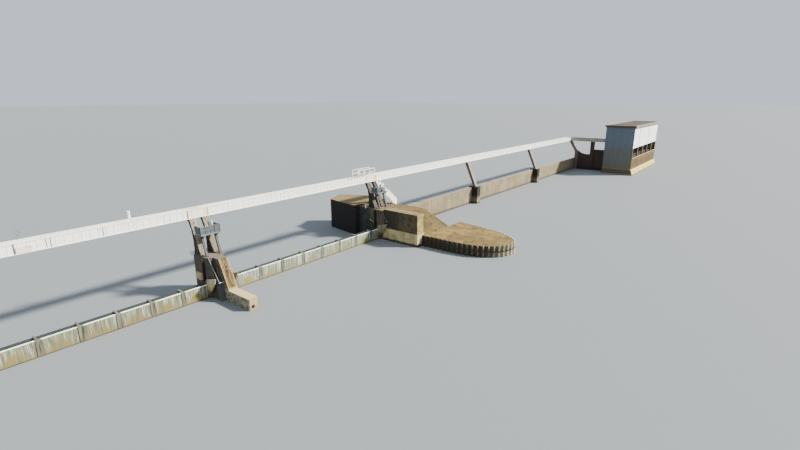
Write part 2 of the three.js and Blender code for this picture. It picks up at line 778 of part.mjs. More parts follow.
// Wall along the upstream edge of the dyke, cast with the plinths of the two legs.
const DYKE_Y = [-200, -150];
const KNEE_LEG_IN = 40;
const plinths = [LEG_A, LEG_B].map((x) =>
  block(x - PLINTH_HALF, x + PLINTH_HALF, ...PLINTH, 0, DYKE_TOP + PLINTH_RISE - SEAT),
);
piece(
  "dyke_wall",
  join([block(YARD_BACK_X + SEAT, KNEE + KNEE_LEG_IN - SEAT, ...DYKE_Y, 0, DYKE_TOP), ...plinths]),
  paleConcrete,
);

// Knee leg: an upright foot on the dyke and a raking head below the turn of the bridge.
const KNEE_LEG_WIDTH = 90;
const kneeLegX = [KNEE + KNEE_LEG_IN, KNEE + KNEE_LEG_IN + KNEE_LEG_WIDTH];
const KNEE_LEG_Y = [-340, -200];
const KNEE_BEND = [800, 770];
const KNEE_HEAD_Y = [-20, 90];
const kneeLegProfile = [
  [KNEE_LEG_Y[0], 0],
  [KNEE_LEG_Y[1], 0],
  [KNEE_LEG_Y[1], KNEE_BEND[1]],
  [KNEE_HEAD_Y[1], BRIDGE_FOOT - SEAT],
  [KNEE_HEAD_Y[0], BRIDGE_FOOT - SEAT],
  [KNEE_LEG_Y[0], KNEE_BEND[0]],
];
piece("knee_leg", alongX(kneeLegProfile, ...kneeLegX), concrete);

// Intake wing wall with a dished top, the intake pier, and the beam on to the powerhouse with a
// thinner wall below it.
const INTAKE_PIER_Y = [-1010, -860];
const INTAKE_PIER_LAP = 20;
const INTAKE_BEAM = [820, 900];
const INTAKE_BEAM_LAP = 10;
const INTAKE_SCREEN_INSET = 15;
const WING_TOP = [830, 680];
const DISH_LOW = [-480, 640];
const DISH_STEPS = 8;
const dish = new THREE.QuadraticBezierCurve(
  new THREE.Vector2(KNEE_LEG_Y[0] - SEAT, WING_TOP[0]),
  new THREE.Vector2(...DISH_LOW),
  new THREE.Vector2(INTAKE_PIER_Y[1], WING_TOP[1]),
);
const wingWall = [
  [KNEE_LEG_Y[0] - SEAT, 0],
  ...dish.getPoints(DISH_STEPS).map((p) => [p.x, p.y]),
  [INTAKE_PIER_Y[1] - BITE, WING_TOP[1]],
  [INTAKE_PIER_Y[1] - BITE, 0],
];
const [wingX0, wingX1] = [kneeLegX[0] + BITE, kneeLegX[1] - BITE];
piece(
  "intake_wall",
  join([
    alongX(wingWall, wingX0, wingX1),
    block(wingX0 - INTAKE_PIER_LAP, wingX1 + INTAKE_PIER_LAP, ...INTAKE_PIER_Y, 0, BRIDGE_FOOT - SEAT),
    block(
      wingX0 - INTAKE_BEAM_LAP,
      wingX1 + INTAKE_BEAM_LAP,
      HOUSE_Y1 + SEAT,
      INTAKE_PIER_Y[0] + BITE,
      ...INTAKE_BEAM,
    ),
    block(
      wingX0 + INTAKE_SCREEN_INSET,
      wingX1 - INTAKE_SCREEN_INSET,
      HOUSE_Y1 + SEAT,
      INTAKE_PIER_Y[0] + BITE,
      0,
      INTAKE_BEAM[0] + BITE,
    ),
  ]),
  darkConcrete,
);

// Powerhouse: base ledge, four walls, two floors, roof slab.
const BASE_LAP = 40;
const BASE_FRONT_TOP = 30;
const BASE_FRONT_FOOT = 100;
const baseLedge = alongX(
  [
    [HOUSE_Y0 - BASE_FRONT_FOOT, 0],
    [HOUSE_Y1, 0],
    [HOUSE_Y1, HOUSE_BASE_TOP],
    [HOUSE_Y0 - BASE_FRONT_TOP, HOUSE_BASE_TOP],
  ],
  HOUSE_X0 - BASE_LAP,
  HOUSE_X1 + BASE_LAP,
);
piece("powerhouse_base", baseLedge, buffConcrete);
const wallFoot = HOUSE_BASE_TOP + SEAT;
const innerX = [HOUSE_X0 + HOUSE_WALL + SEAT, HOUSE_X1 - HOUSE_WALL - SEAT];
const innerY = [HOUSE_Y0 + HOUSE_WALL + SEAT, HOUSE_Y1 - HOUSE_WALL - SEAT];
function sideWall(name, x0) {
  piece(name, block(x0, x0 + HOUSE_WALL, ...innerY, wallFoot, HOUSE_TOP), paleConcrete);
}
sideWall("powerhouse_left_wall", HOUSE_X0);
sideWall("powerhouse_right_wall", HOUSE_X1 - HOUSE_WALL);

// The return span ends at a door in the upstream wall.
const DOOR_WIDTH = 110;
const DOOR_HEIGHT = 225;
const DOOR_THICK = 8;
const doorX = [KNEE + (BRIDGE_WIDTH - DOOR_WIDTH) / 2, KNEE + (BRIDGE_WIDTH + DOOR_WIDTH) / 2];
const doorFoot = BRIDGE_FOOT + DECK_LEVEL;
piece(
  "powerhouse_upstream_wall",
  cut(block(HOUSE_X0, HOUSE_X1, HOUSE_Y1 - HOUSE_WALL, HOUSE_Y1, wallFoot, HOUSE_TOP), [
    block(...doorX, HOUSE_Y1 - HOUSE_WALL - BITE, HOUSE_Y1 + BITE, doorFoot, doorFoot + DOOR_HEIGHT),
  ]),
  paleConcrete,
);
piece(
  "powerhouse_door",
  block(
    doorX[0] + SEAT,
    doorX[1] - SEAT,
    HOUSE_Y1 - HOUSE_WALL + DOOR_THICK,
    HOUSE_Y1 - HOUSE_WALL + 2 * DOOR_THICK,
    doorFoot + SEAT,
    doorFoot + DOOR_HEIGHT - SEAT,
  ),
  greySteel,
);

// Five tall openings in a row look downstream.
const OPENINGS = 5;
const OPENING_PILLAR = 110;
const openingPitch = (HOUSE_X1 - HOUSE_X0 - 2 * HOUSE_WALL) / OPENINGS;
const openingCuts = [];
for (let i = 0; i < OPENINGS; i++) {
  const x0 = HOUSE_X0 + HOUSE_WALL + i * openingPitch + OPENING_PILLAR / 2;
  const x1 = x0 + openingPitch - OPENING_PILLAR;
  openingCuts.push(block(x0, x1, HOUSE_Y0 - BITE, HOUSE_Y0 + HOUSE_WALL + BITE, HOUSE_SILL, HOUSE_HEAD));
}
piece(
  "powerhouse_downstream_wall",
  cut(block(HOUSE_X0, HOUSE_X1, HOUSE_Y0, HOUSE_Y0 + HOUSE_WALL, wallFoot, HOUSE_TOP), openingCuts),
  paleConcrete,
);
const FLOOR_THICK = 30;
function floorSlab(name, top) {
  piece(name, block(...innerX, ...innerY, top - FLOOR_THICK, top), concrete);
}
floorSlab("powerhouse_lower_floor", HOUSE_SILL);
floorSlab("powerhouse_upper_floor", HOUSE_UPPER_FLOOR);
piece(
  "powerhouse_roof",
  block(
    HOUSE_X0 - ROOF_LAP,
    HOUSE_X1 + ROOF_LAP,
    HOUSE_Y0 - ROOF_LAP,
    HOUSE_Y1 + ROOF_LAP,
    HOUSE_TOP + SEAT,
    HOUSE_TOP + ROOF_THICK,
  ),
  concrete,
);

// The origin is the middle of the whole structure's foot.
const extent = new THREE.Box3().setFromObject(barrage);
barrage.position.set(-(extent.min.x + extent.max.x) / 2, -(extent.min.y + extent.max.y) / 2, 0);

export default barrage;
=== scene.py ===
from collections import namedtuple
import math
import bpy
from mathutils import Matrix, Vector


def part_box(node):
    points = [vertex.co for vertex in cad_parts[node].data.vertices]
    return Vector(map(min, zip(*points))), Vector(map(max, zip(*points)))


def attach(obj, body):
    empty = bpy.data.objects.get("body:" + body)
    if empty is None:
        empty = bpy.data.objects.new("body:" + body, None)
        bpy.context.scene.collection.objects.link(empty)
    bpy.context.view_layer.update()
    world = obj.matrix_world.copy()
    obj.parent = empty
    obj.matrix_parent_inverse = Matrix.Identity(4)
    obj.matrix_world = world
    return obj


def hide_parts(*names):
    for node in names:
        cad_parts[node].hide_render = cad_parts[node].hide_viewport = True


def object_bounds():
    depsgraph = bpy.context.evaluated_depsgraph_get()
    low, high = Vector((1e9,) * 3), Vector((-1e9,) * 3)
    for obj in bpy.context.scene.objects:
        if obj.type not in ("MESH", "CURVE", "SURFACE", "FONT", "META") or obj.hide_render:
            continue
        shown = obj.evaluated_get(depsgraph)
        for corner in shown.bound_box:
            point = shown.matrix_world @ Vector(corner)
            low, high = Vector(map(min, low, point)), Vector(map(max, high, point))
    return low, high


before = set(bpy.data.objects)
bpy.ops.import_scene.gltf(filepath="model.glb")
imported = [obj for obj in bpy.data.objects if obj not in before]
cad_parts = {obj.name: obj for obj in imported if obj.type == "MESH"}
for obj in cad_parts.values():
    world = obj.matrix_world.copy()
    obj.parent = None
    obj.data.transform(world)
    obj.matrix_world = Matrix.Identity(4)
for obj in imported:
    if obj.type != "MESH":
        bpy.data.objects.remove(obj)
cad_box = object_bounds()


# River piers.
# Cast concrete, buff where the sun and spray clean it and dark brown on the damp left side, which
# also carries painted shade, with brown runs on the raked buttress. Steel guides line the gate
# slots, and a drain opens in the nose.
def shade(red, green, blue):
    """A paint or stone colour given as 0 to 255, as the shader wants it."""
    return tuple((value / 255) ** 2.2 for value in (red, green, blue)) + (1.0,)


class Wire:
    """A shader socket. Sums on it add Math nodes, and any other node comes from node()."""

    def __init__(self, tree, socket=None):
        self.tree = tree
        self.socket = socket

    def node(self, kind, settings=(), inputs=(), output=0):
        made = self.tree.nodes.new("ShaderNode" + kind)
        for name, value in dict(settings).items():
            setattr(made, name, value)
        for key, value in dict(inputs).items():
            if isinstance(value, Wire):
                self.tree.links.new(value.socket, made.inputs[key])
            else:
                made.inputs[key].default_value = value
        return Wire(self.tree, made.outputs[output])

    def maths(self, operation, term=0.0):
        return self.node("Math", {"operation": operation}, {0: self, 1: term})

    def over(self, *layers):
        """This colour with others laid over it in turn, each with its share from 0 to 1."""
        colour = self
        for share, paint in layers:
            paint = paint if isinstance(paint, Wire) else shade(*paint)
            colour = self.node("Mix", {"data_type": "RGBA"}, {0: share, 6: colour, 7: paint}, 2)
        return colour

    def __add__(self, term):
        return self.maths("ADD", term)

    __radd__ = __add__

    def __sub__(self, term):
        return self.maths("SUBTRACT", term)

    def __rsub__(self, term):
        return self.node("Math", {"operation": "SUBTRACT"}, {0: term, 1: self})

    def __mul__(self, term):
        return self.maths("MULTIPLY", term)

    __rmul__ = __mul__


Axes = namedtuple("Axes", "x y z")


def axes(vector):
    """The three parts of a place or a direction."""
    parts = vector.node("SeparateXYZ", inputs={0: vector}).socket.node.outputs
    return Axes(*(Wire(vector.tree, part) for part in parts))


def new_finish(name):
    """A new material, its shader, and the place on the object that its patterns read."""
    made = bpy.data.materials.new(name)
    made.use_nodes = True
    return made, made.node_tree.nodes["Principled BSDF"], Wire(made.node_tree).node("TexCoord", output=3)


def facing_at(place):
    """The way that the surface looks."""
    return axes(place.node("NewGeometry", output=1))


def noise(place, scale, detail=4.0, roughness=0.55):
    settings = {"Vector": place, "Scale": scale, "Detail": detail, "Roughness": roughness}
    return place.node("TexNoise", inputs=settings)


def stretched(place, x, y, z):
    return place.node("Mapping", inputs={"Vector": place, "Scale": (x, y, z)})


def ease(value, low, high):
    """0 below low, 1 above high, and smooth between them."""
    settings = {"interpolation_type": "SMOOTHSTEP"}
    return value.node("MapRange", settings, {"Value": value, "From Min": low, "From Max": high})


def against(part, low=0.4):
    """1 on faces that look back along an axis, and 0 on the others."""
    return ease(part * -1.0, low, 0.8)


def blended(share, first, second):
    """One shade passing into another."""
    settings = {"data_type": "RGBA"}
    return share.node("Mix", settings, {0: share, 6: shade(*first), 7: shade(*second)}, 2)


def seam(value, pitch, half_width):
    """1 along lines that stand a pitch apart, and 0 between them."""
    return 1 - ease(value.maths("PINGPONG", pitch / 2), half_width * 0.4, half_width)


def connect(finish, shader, colour, roughness, height, strength, distance, tone=(0.5, 0.5, 0.5)):
    """Joins colour, roughness and relief to the finish's own shader. The tone dims red, green and blue."""
    settings = {"data_type": "RGBA", "blend_type": "MULTIPLY"}
    toned = colour.node("Mix", settings, {0: 1.0, 6: colour, 7: tone + (1.0,)}, 2)
    bump = height.node("Bump", inputs={"Strength": strength, "Distance": distance, "Height": height})
    for wire, name in ((toned, "Base Color"), (roughness, "Roughness"), (bump, "Normal")):
        finish.node_tree.links.new(wire.socket, shader.inputs[name])
    return finish


def concrete(name, fresh, worn, stain, damp_and_shade, top, runs=0.5, west_shade=0.8, dust=0.8, tide=0.06, boards=0.06,
             bays=2.0, marks=None, tone=(0.5, 0.48, 0.42)):
    """Cast concrete: cloudy, streaked by rain, dark where damp at the foot and in the joints, with painted
    shade on the faces that look along -x, dusty on top, with form board lines.
    """
    finish, shader, place = new_finish(name)
    at, facing = axes(place), facing_at(place)
    clouds = noise(place, 3.1, 6.0, 0.62)
    patches = noise(place, 9.0, 5.0, 0.6)
    grit = noise(place, 95.0, 5.0, 0.7)
    rain = noise(stretched(place, 30.0, 30.0, 1.6), 1.0, 4.0, 0.6)
    up = ease(facing.z, 0.45, 0.85)
    side = 1 - up
    colour = blended(ease(clouds, 0.36, 0.62), worn, fresh)
    # Painted shade: the faces that look along -x are darkened towards the damp colour, by a share given per
    # material.
    shadow_side = against(facing.x, 0.25) * side
    wet = 1 - ease(at.z + 0.07 * patches, tide, tide + 0.07)
    lines = seam(at.z, boards, 0.0022) * side
    joints = seam(at.x, bays, 0.005) * side
    colour = colour.over(
        (ease(patches, 0.52, 0.7) * 0.45, worn),
        (ease(rain, 0.47, 0.66) * ease(clouds, 0.3, 0.6) * side * runs, stain),
        (shadow_side * (0.55 + 0.6 * clouds) * west_shade, damp_and_shade),
        (wet * side * 0.85, damp_and_shade),
        (up * dust * ease(patches + 0.35 * clouds, 0.45, 0.75), top),
        (lines * 0.22 + joints * 0.4, damp_and_shade))
    if marks:
        colour = marks(place, facing, colour)
    height = clouds * 0.5 + grit * 0.55 + patches * 0.3 - lines * 0.6 - joints * 0.8
    return connect(finish, shader, colour, 0.78 + 0.2 * grit, height, 0.55, 0.006, tone)


def dress(node, finish):
    """Gives a carried-over node its finish."""
    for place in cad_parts[node].material_slots:
        place.material = finish


def deselect():
    if bpy.context.mode != "OBJECT":
        bpy.ops.object.mode_set(mode="OBJECT")
    bpy.ops.object.select_all(action="DESELECT")


def softened(piece, width):
    """Takes the sharp edges off a piece, as a chamfer."""
    bpy.ops.object.mode_set(mode="EDIT")
    bpy.ops.mesh.select_all(action="DESELECT")
    bpy.ops.mesh.select_mode(type="EDGE")
    bpy.ops.mesh.edges_select_sharp(sharpness=math.radians(50))
    bpy.ops.mesh.bevel(offset=width, segments=1, affect="EDGES")
    bpy.ops.object.mode_set(mode="OBJECT")
    return piece


def block(x0, x1, y0, y1, z0, z1):
    """A plain cuboid between two corners, left selected."""
    deselect()
    middle = ((x0 + x1) / 2, (y0 + y1) / 2, (z0 + z1) / 2)
    bpy.ops.mesh.primitive_cube_add(size=1, location=middle, scale=(x1 - x0, y1 - y0, z1 - z0))
    bpy.ops.object.transform_apply(location=True, rotation=True, scale=True)
    return bpy.context.object


def bar(x0, x1, y0, y1, z0, z1, edge=0.0008):
    """A straight bar or plate between two corners, with its edges eased."""
    return softened(block(x0, x1, y0, y1, z0, z1), edge)


def bars(x, y, z, *sizes):
    """Bars given by their corners as measured from one point, and some of them by their edge."""
    made = []
    for x0, x1, y0, y1, z0, z1, *edge in sizes:
        made.append(bar(x + x0, x + x1, y + y0, y + y1, z + z0, z + z1, *edge))
    return made


def rod(start, end, radius, sides=12, edge=0.0008):
    """A round rod, tube or drum from one point to another."""
    deselect()
    start, end = Vector(start), Vector(end)
    turn = (end - start).to_track_quat("Z", "Y").to_euler()
    bpy.ops.mesh.primitive_cylinder_add(
        vertices=sides, radius=radius, depth=(end - start).length, location=(start + end) / 2, rotation=turn)
    bpy.ops.object.transform_apply(location=True, rotation=True, scale=True)
    return softened(bpy.context.object, edge)


def upright(x, y, z0, z1, radius, sides=12, edge=0.0008):
    return rod((x, y, z0), (x, y, z1), radius, sides, edge)


def chosen(piece, rule):
    """Selects the faces that the rule picks and leaves the mesh open for work on them."""
    deselect()
    piece.select_set(True)
    bpy.context.view_layer.objects.active = piece
    bpy.ops.object.mode_set(mode="EDIT")
    bpy.ops.mesh.select_mode(type="FACE")
    bpy.ops.mesh.select_all(action="DESELECT")
    bpy.ops.object.mode_set(mode="OBJECT")
    for face in piece.data.polygons:
        face.select = rule(face)
    bpy.ops.object.mode_set(mode="EDIT")


def sunk(piece, direction, border, depth):
    """Presses a panel into the large flat face that looks the given way."""
    largest = max(piece.data.polygons, key=lambda face: face.area * (face.normal.dot(direction) > 0.9))
    centre = largest.center.copy()
    chosen(piece, lambda face: (face.center - centre).length < 1e-6)
    bpy.ops.mesh.inset(thickness=border, depth=-depth)
    bpy.ops.object.mode_set(mode="OBJECT")
    return piece


def in_row(piece, count, step):
    """Repeats a part in an even row, as one mesh."""
    row = piece.modifiers.new("row", "ARRAY")
    row.count = count
    row.use_relative_offset = False
    row.use_constant_offset = True
    row.constant_offset_displace = step
    bpy.context.view_layer.objects.active = piece
    bpy.ops.object.modifier_apply(modifier="row")
    return piece


def fixed(name, parts, finish, body="structure"):
    """Joins parts into one named piece, finishes it, and fixes it to its body."""
    deselect()
    for part in parts:
        part.select_set(True)
    bpy.context.view_layer.objects.active = parts[0]
    if len(parts) > 1:
        bpy.ops.object.join()
    piece = bpy.context.view_layer.objects.active
    bpy.ops.object.shade_smooth_by_angle(angle=math.radians(35))
    piece.name = name
    piece.data.materials.clear()
    piece.data.materials.append(finish)
    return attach(piece, body)


pier_places = (-0.550, 3.640, 7.830)
frame_low, frame_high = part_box("pier_1_portal_frame")
east = (frame_low.x + frame_high.x) / 2 - pier_places[1]
north = frame_high.y - 0.190
pier_x = [east + place for place in pier_places]
pier_span = pier_x[1] - pier_x[0]
pier_half = 0.170
pier_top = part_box("pier_1_body")[1].z
abutment_face = east + 7.615
downstream = Vector((0, -1, 0))


def pier_marks(place, facing, colour):
    """The brown run down the buttress, the trunk front strip dark with wet stain and painted shade, painted
    shade low in the gate slots, grey trickles over the shaded left faces, the clean nose, and the pale
    ledges, lightened as painted light on their shaded left faces.
    """
    at = axes(place)
    off = (at.x - pier_x[0]).maths("PINGPONG", pier_span / 2)
    left, front = against(facing.x), against(facing.y, 0.5)
    up = ease(facing.z, 0.6, 0.9)
    cloud = noise(place, 15.0, 6.0, 0.65)
    fleck = noise(place, 42.0, 5.0, 0.65)
    trickle = noise(stretched(place, 24.0, 7.0, 5.0), 1.0, 5.0, 0.75)
    run = (1 - ease(off + 0.06 * cloud, 0.05, 0.115)) * front * ease(at.z, 0.19, 0.25)
    # Painted shade and wet stain on the strip of the raked trunk front: dark above, bluish grey low down.
    strip = ease(off, 0.0805, 0.0825) * (1 - ease(off, 0.15, 0.166)) * front
    strip = strip * (1 - ease(at.y, north - 0.45, north - 0.43))
    # Painted shade low in the gate slots.
    slot = ease(off, 0.112, 0.118) * front * ease(at.y, north - 0.37, north - 0.35)
    # Painted light: the ledges are pale on every face, their shaded left faces too.
    ledge = ease(off, 0.1705, 0.172)
    low = 1 - ease(at.z, 0.2, 0.24)
    nose = left * low * (1 - ease(at.y, north - 0.76, north - 0.70))
    mottled = blended(ease(cloud, 0.4, 0.6), (128, 130, 120), (206, 206, 190))
    high = up * ease(at.z, 0.6, 0.65)
    return colour.over(
        (run * 0.85, (146, 124, 70)),
        (run * ease(cloud, 0.5, 0.6) * 0.7, (100, 82, 46)),
        (run * ease(trickle, 0.46, 0.55) * 0.95, (70, 54, 34)),
        (ease(fleck, 0.58, 0.68) * front * 0.5, (96, 70, 42)),
        # Grey trickles over the left faces, which carry painted shade.
        (left * (0.4 + 0.6 * ease(trickle, 0.42, 0.6)) * 0.8, (126, 126, 122)),
        (strip * 0.9, (50, 43, 36)),
        (strip * (1 - ease(at.z, 0.24, 0.33)) * 0.9, (118, 128, 150)),
        (slot * (1 - ease(at.z, 0.54, 0.60)) * 0.9, (44, 38, 32)),
        (ledge * (0.5 + 0.9 * cloud), (252, 240, 204)),
        (up * low * (0.7 + 0.4 * cloud), (255, 244, 186)),
        (front * low * (1 - strip) * 0.6, (252, 232, 186)),
        (nose * 0.9, mottled),
        (high * (0.4 + 0.6 * ease(cloud, 0.3, 0.6)), (122, 120, 124)),
        (high * ease(fleck, 0.56, 0.66) * 0.7, (70, 60, 46)))


buff_concrete = concrete("buff_concrete", (222, 202, 156), (192, 168, 120), (112, 80, 44), (54, 50, 43),
                         (205, 188, 150), runs=0.6, west_shade=1.15, marks=pier_marks, tone=(0.5, 0.46, 0.37))
dress("pier_0_body", buff_concrete)
dress("pier_1_body", buff_concrete)


def steel(name, coat, worn, grime, rust, flakes=0.82, dirt=0.5, metallic=0.1, tone=(0.5, 0.5, 0.5)):
    """Painted steel: chalky coat, rain runs, dirt on top faces, and rust where the coat has flaked."""
    finish, shader, place = new_finish(name)
    chalk = noise(place, 5.0, 5.0, 0.6)
    specks = noise(place, 70.0, 4.0, 0.6)
    rain = noise(stretched(place, 24.0, 24.0, 1.5), 1.0, 4.0, 0.6)
    up = ease(facing_at(place).z, 0.5, 0.9)
    colour = blended(ease(chalk, 0.35, 0.7), coat, worn)
    bare = ease(specks + 0.35 * chalk, flakes, flakes + 0.09)
    colour = colour.over(
        (ease(rain, 0.5, 0.72) * (1 - up) * dirt, grime),
        (up * dirt * ease(chalk + 0.3 * specks, 0.4, 0.8), grime),
        (bare * 0.8, rust))
    shader.inputs["Metallic"].default_value = metallic
    rough = 0.45 + 0.25 * specks + 0.15 * bare
    return connect(finish, shader, colour, rough, chalk * 0.4 + specks * 0.4 - bare * 0.3, 0.25, 0.002, tone)


guide_steel = steel("guide_steel", (120, 118, 112), (96, 92, 84), (60, 54, 46), (96, 58, 34), 0.74)
gate_y = north - 0.310
guide_places = (gate_y - 0.055, gate_y + 0.055)
guide_half, guide_in, guide_out = 0.006, 0.002, 0.003
guide_foot, guide_top = 0.016, 0.628
for number, side in ((0, 1), (1, -1), (1, 1), (2, -1)):
    face = pier_x[number] + side * pier_half if number < 2 else abutment_face
    near, far = sorted((face - side * guide_in, face + side * guide_out))
    guides = [bar(near, far, y - guide_half, y + guide_half, guide_foot, guide_top) for y in guide_places]
    fixed("pier_%d_%s_guides" % (number, "right" if side > 0 else "left"), guides, guide_steel)


def dark_film(name, clean, filmed, scale, rough, distance):
    """A dark surface under a thin film of dirt, such as rubber, or the inside of a drain, painted dark as
    its shade.
    """
    finish, shader, place = new_finish(name)
    film = noise(place, scale)
    colour = blended(ease(film, 0.4, 0.7), clean, filmed)
    return connect(finish, shader, colour, rough + 0.3 * film, film, 0.3, distance)


# Painted shade: the shallow drain mouth is near black, for the deep shaded hole.
drain_shade = dark_film("drain_shade", (18, 15, 12), (52, 38, 24), 60.0, 0.5, 0.002)
drain_z, drain_radius = 0.062, 0.029
nose_end = north - 1.355
for number in (0, 1):
    x = pier_x[number] - 0.012
    mouth = rod((x, nose_end + 0.004, drain_z), (x, nose_end - 0.0025, drain_z), drain_radius, 24)
    fixed("pier_%d_drain" % number, [sunk(mouth, downstream, 0.004, 0.0018)], drain_shade)

# White boxes and lift rails.
# A painted steel box hangs on a bracket at each pier's upstream left corner. Beside each raked
# front a grey rail tube guides the lifting rope, and a white bar ties its foot to the concrete.
white_box = steel("white_box_paint", (250, 252, 252), (236, 238, 238), (160, 156, 146), (120, 84, 54),
                  0.9, 0.2, tone=(1.0, 1.0, 1.0))
pale_steel = steel("pale_steel", (168, 176, 178), (140, 148, 150), (100, 96, 86), (104, 68, 42), 0.80, 0.6)
box_foot, box_rise, box_set = 0.664, 0.056, 0.001
box_sizes = ((0.034, 0.016, 0.046), (0.062, 0.018, 0.046), (0.020, 0.009, 0.020))
for number, (out, half, back) in enumerate(box_sizes):
    face = (pier_x[number] - pier_half if number < 2 else abutment_face) - out
    deep = out + box_set
    case, lid, arm = bars(face, north - back, box_foot, (0, deep, -half, half, 0, box_rise, 0.002),
                          (-0.003, deep, -half - 0.003, half + 0.003, box_rise, box_rise + 0.006),
                          (0.004, deep, -0.004, 0.004, -0.012, 0))
    parts = [sunk(case, downstream, 0.004, 0.001), lid, arm]
    fixed("pier_%d_white_box" % number, parts, white_box)

clip_places = (0.06, 0.30)
clip_half, clip_reach = 0.003, 0.020
for number, x in enumerate(pier_x):
    if number < 2:
        top, foot = (x - 0.149, north - 0.440, pier_top + 0.002), (x - 0.147, north - 0.696, 0.314)
        radius, wall = 0.0058, x - 0.080
    else:
        rail_x = abutment_face - 0.0042
        top, foot = (rail_x, north - 0.497, pier_top - 0.002), (rail_x, north - 0.637, 0.429)
        radius, wall = 0.003, abutment_face + 0.0205
    tie = bar(foot[0] - radius, wall, foot[1] - 0.004, foot[1] + 0.004, foot[2] - 0.004, foot[2] + 0.004)
    fixed("pier_%d_rail_tie" % number, [tie], white_box)
    parts = [rod(top, foot, radius)]
    for share in clip_places:
        x, y, z = Vector(top).lerp(Vector(foot), share)
        parts.append(bar(x - radius, x + clip_reach, y - clip_half, y + clip_half, z - 0.010, z + 0.002))
    fixed("pier_%d_lift_rail" % number, parts, pale_steel)

# Portal frames.
# Reinforced concrete, cast in place on each pier: two leaning uprights, a brace and an arm under
# the far girder, greyer and cleaner than the piers. Steel shoes hold them down with bolts.
frame_concrete = concrete("frame_concrete", (222, 210, 184), (182, 168, 142), (96, 82, 64), (66, 60, 54),
                          (176, 166, 144), runs=0.9, west_shade=1.1, tide=-1.0, boards=0.1, bays=9.0,
                          tone=(0.36, 0.36, 0.34))
# A darker copy of the frame concrete, for the frame on the abutment pier.
frame_darker = concrete("frame_darker", (150, 142, 130), (96, 88, 76), (58, 48, 38), (52, 48, 44),
                      (150, 142, 124), runs=1.0, west_shade=1.1, tide=-1.0, boards=0.1, bays=9.0,
                      tone=(0.36, 0.35, 0.33))
upright_off, shoe_places = 0.1075, (north - 0.266, north - 0.055)
shoe_size = (-0.046, 0.046, 0, 0.016, 0.0003, 0.006)
for number, x in enumerate(pier_x):
    dress("pier_%d_portal_frame" % number, frame_concrete if number < 2 else frame_darker)
    parts = []
    for centre in (x - upright_off, x + upright_off):
        for y in shoe_places:
            bolt = upright(centre - 0.036, y + 0.008, pier_top + 0.005, pier_top + 0.012, 0.0045, 6)
            parts += bars(centre, y, pier_top, shoe_size) + [in_row(bolt, 4, (0.024, 0, 0))]
    fixed("pier_%d_frame_shoes" % number, parts, guide_steel)

# Hoist platforms.
# Steel grating on two beams and raking struts, bolted to the frame, with sheet panels in the guard
# rail and a flood lamp on a post.
def grating(name):
    """Open steel grating: bars both ways over gaps painted dark as the shade below them, and darker under
    the floor with rust and painted shade.
    """
    finish, shader, place = new_finish(name)
    at = axes(place)
    up = ease(facing_at(place).z, 0.5, 0.9)
    bars = seam(at.x, 0.008, 0.0022).maths("MAXIMUM", seam(at.y, 0.02, 0.0026))
    chalk = noise(place, 8.0)
    specks = noise(place, 80.0)
    coat = blended(ease(chalk, 0.35, 0.7), (178, 184, 184), (146, 150, 148))
    # Rust and painted shade: the parts below the floor are darker.
    under = 1 - ease(at.z, 0.99, 1.008)
    coat = coat.over(
        (ease(specks, 0.6, 0.75) * 0.5, (110, 84, 60)),
        (under * (0.7 + 0.3 * chalk), (92, 86, 76)))
    # Painted shade: the gaps between the bars on top are dark.
    colour = coat.over((up * (1 - bars) * 0.6, (74, 76, 76)))
    shader.inputs["Metallic"].default_value = 0.15
    height = bars * up + specks * 0.2
    return connect(finish, shader, colour, 0.5 + 0.25 * specks, height, 0.4, 0.003, (0.36, 0.38, 0.4))


platform_grating = grating("platform_grating")


def mesh_panel(name):
    """Punched sheet steel: rows of small holes, painted dark as the shade seen through them, in a pale coat.
    """
    finish, shader, place = new_finish(name)
    cells = place.node("TexVoronoi", {"feature": "F1"}, {"Vector": place, "Scale": 130.0, "Randomness": 0.0})
    holes = 1 - ease(cells, 0.24, 0.34)
    chalk = noise(place, 9.0)
    rain = noise(stretched(place, 40.0, 40.0, 2.0), 1.0)
    coat = blended(ease(chalk, 0.35, 0.7), (212, 218, 218), (166, 170, 170))
    coat = coat.over((ease(rain, 0.48, 0.66) * 0.6, (112, 106, 96)))
    # Painted shade seen through the holes.
    colour = coat.over((holes * 0.7, (70, 76, 80)))
    shader.inputs["Metallic"].default_value = 0.1
    return connect(finish, shader, colour, 0.5 + 0.2 * chalk, 1 - holes, 0.3, 0.002, (0.15, 0.165, 0.18))


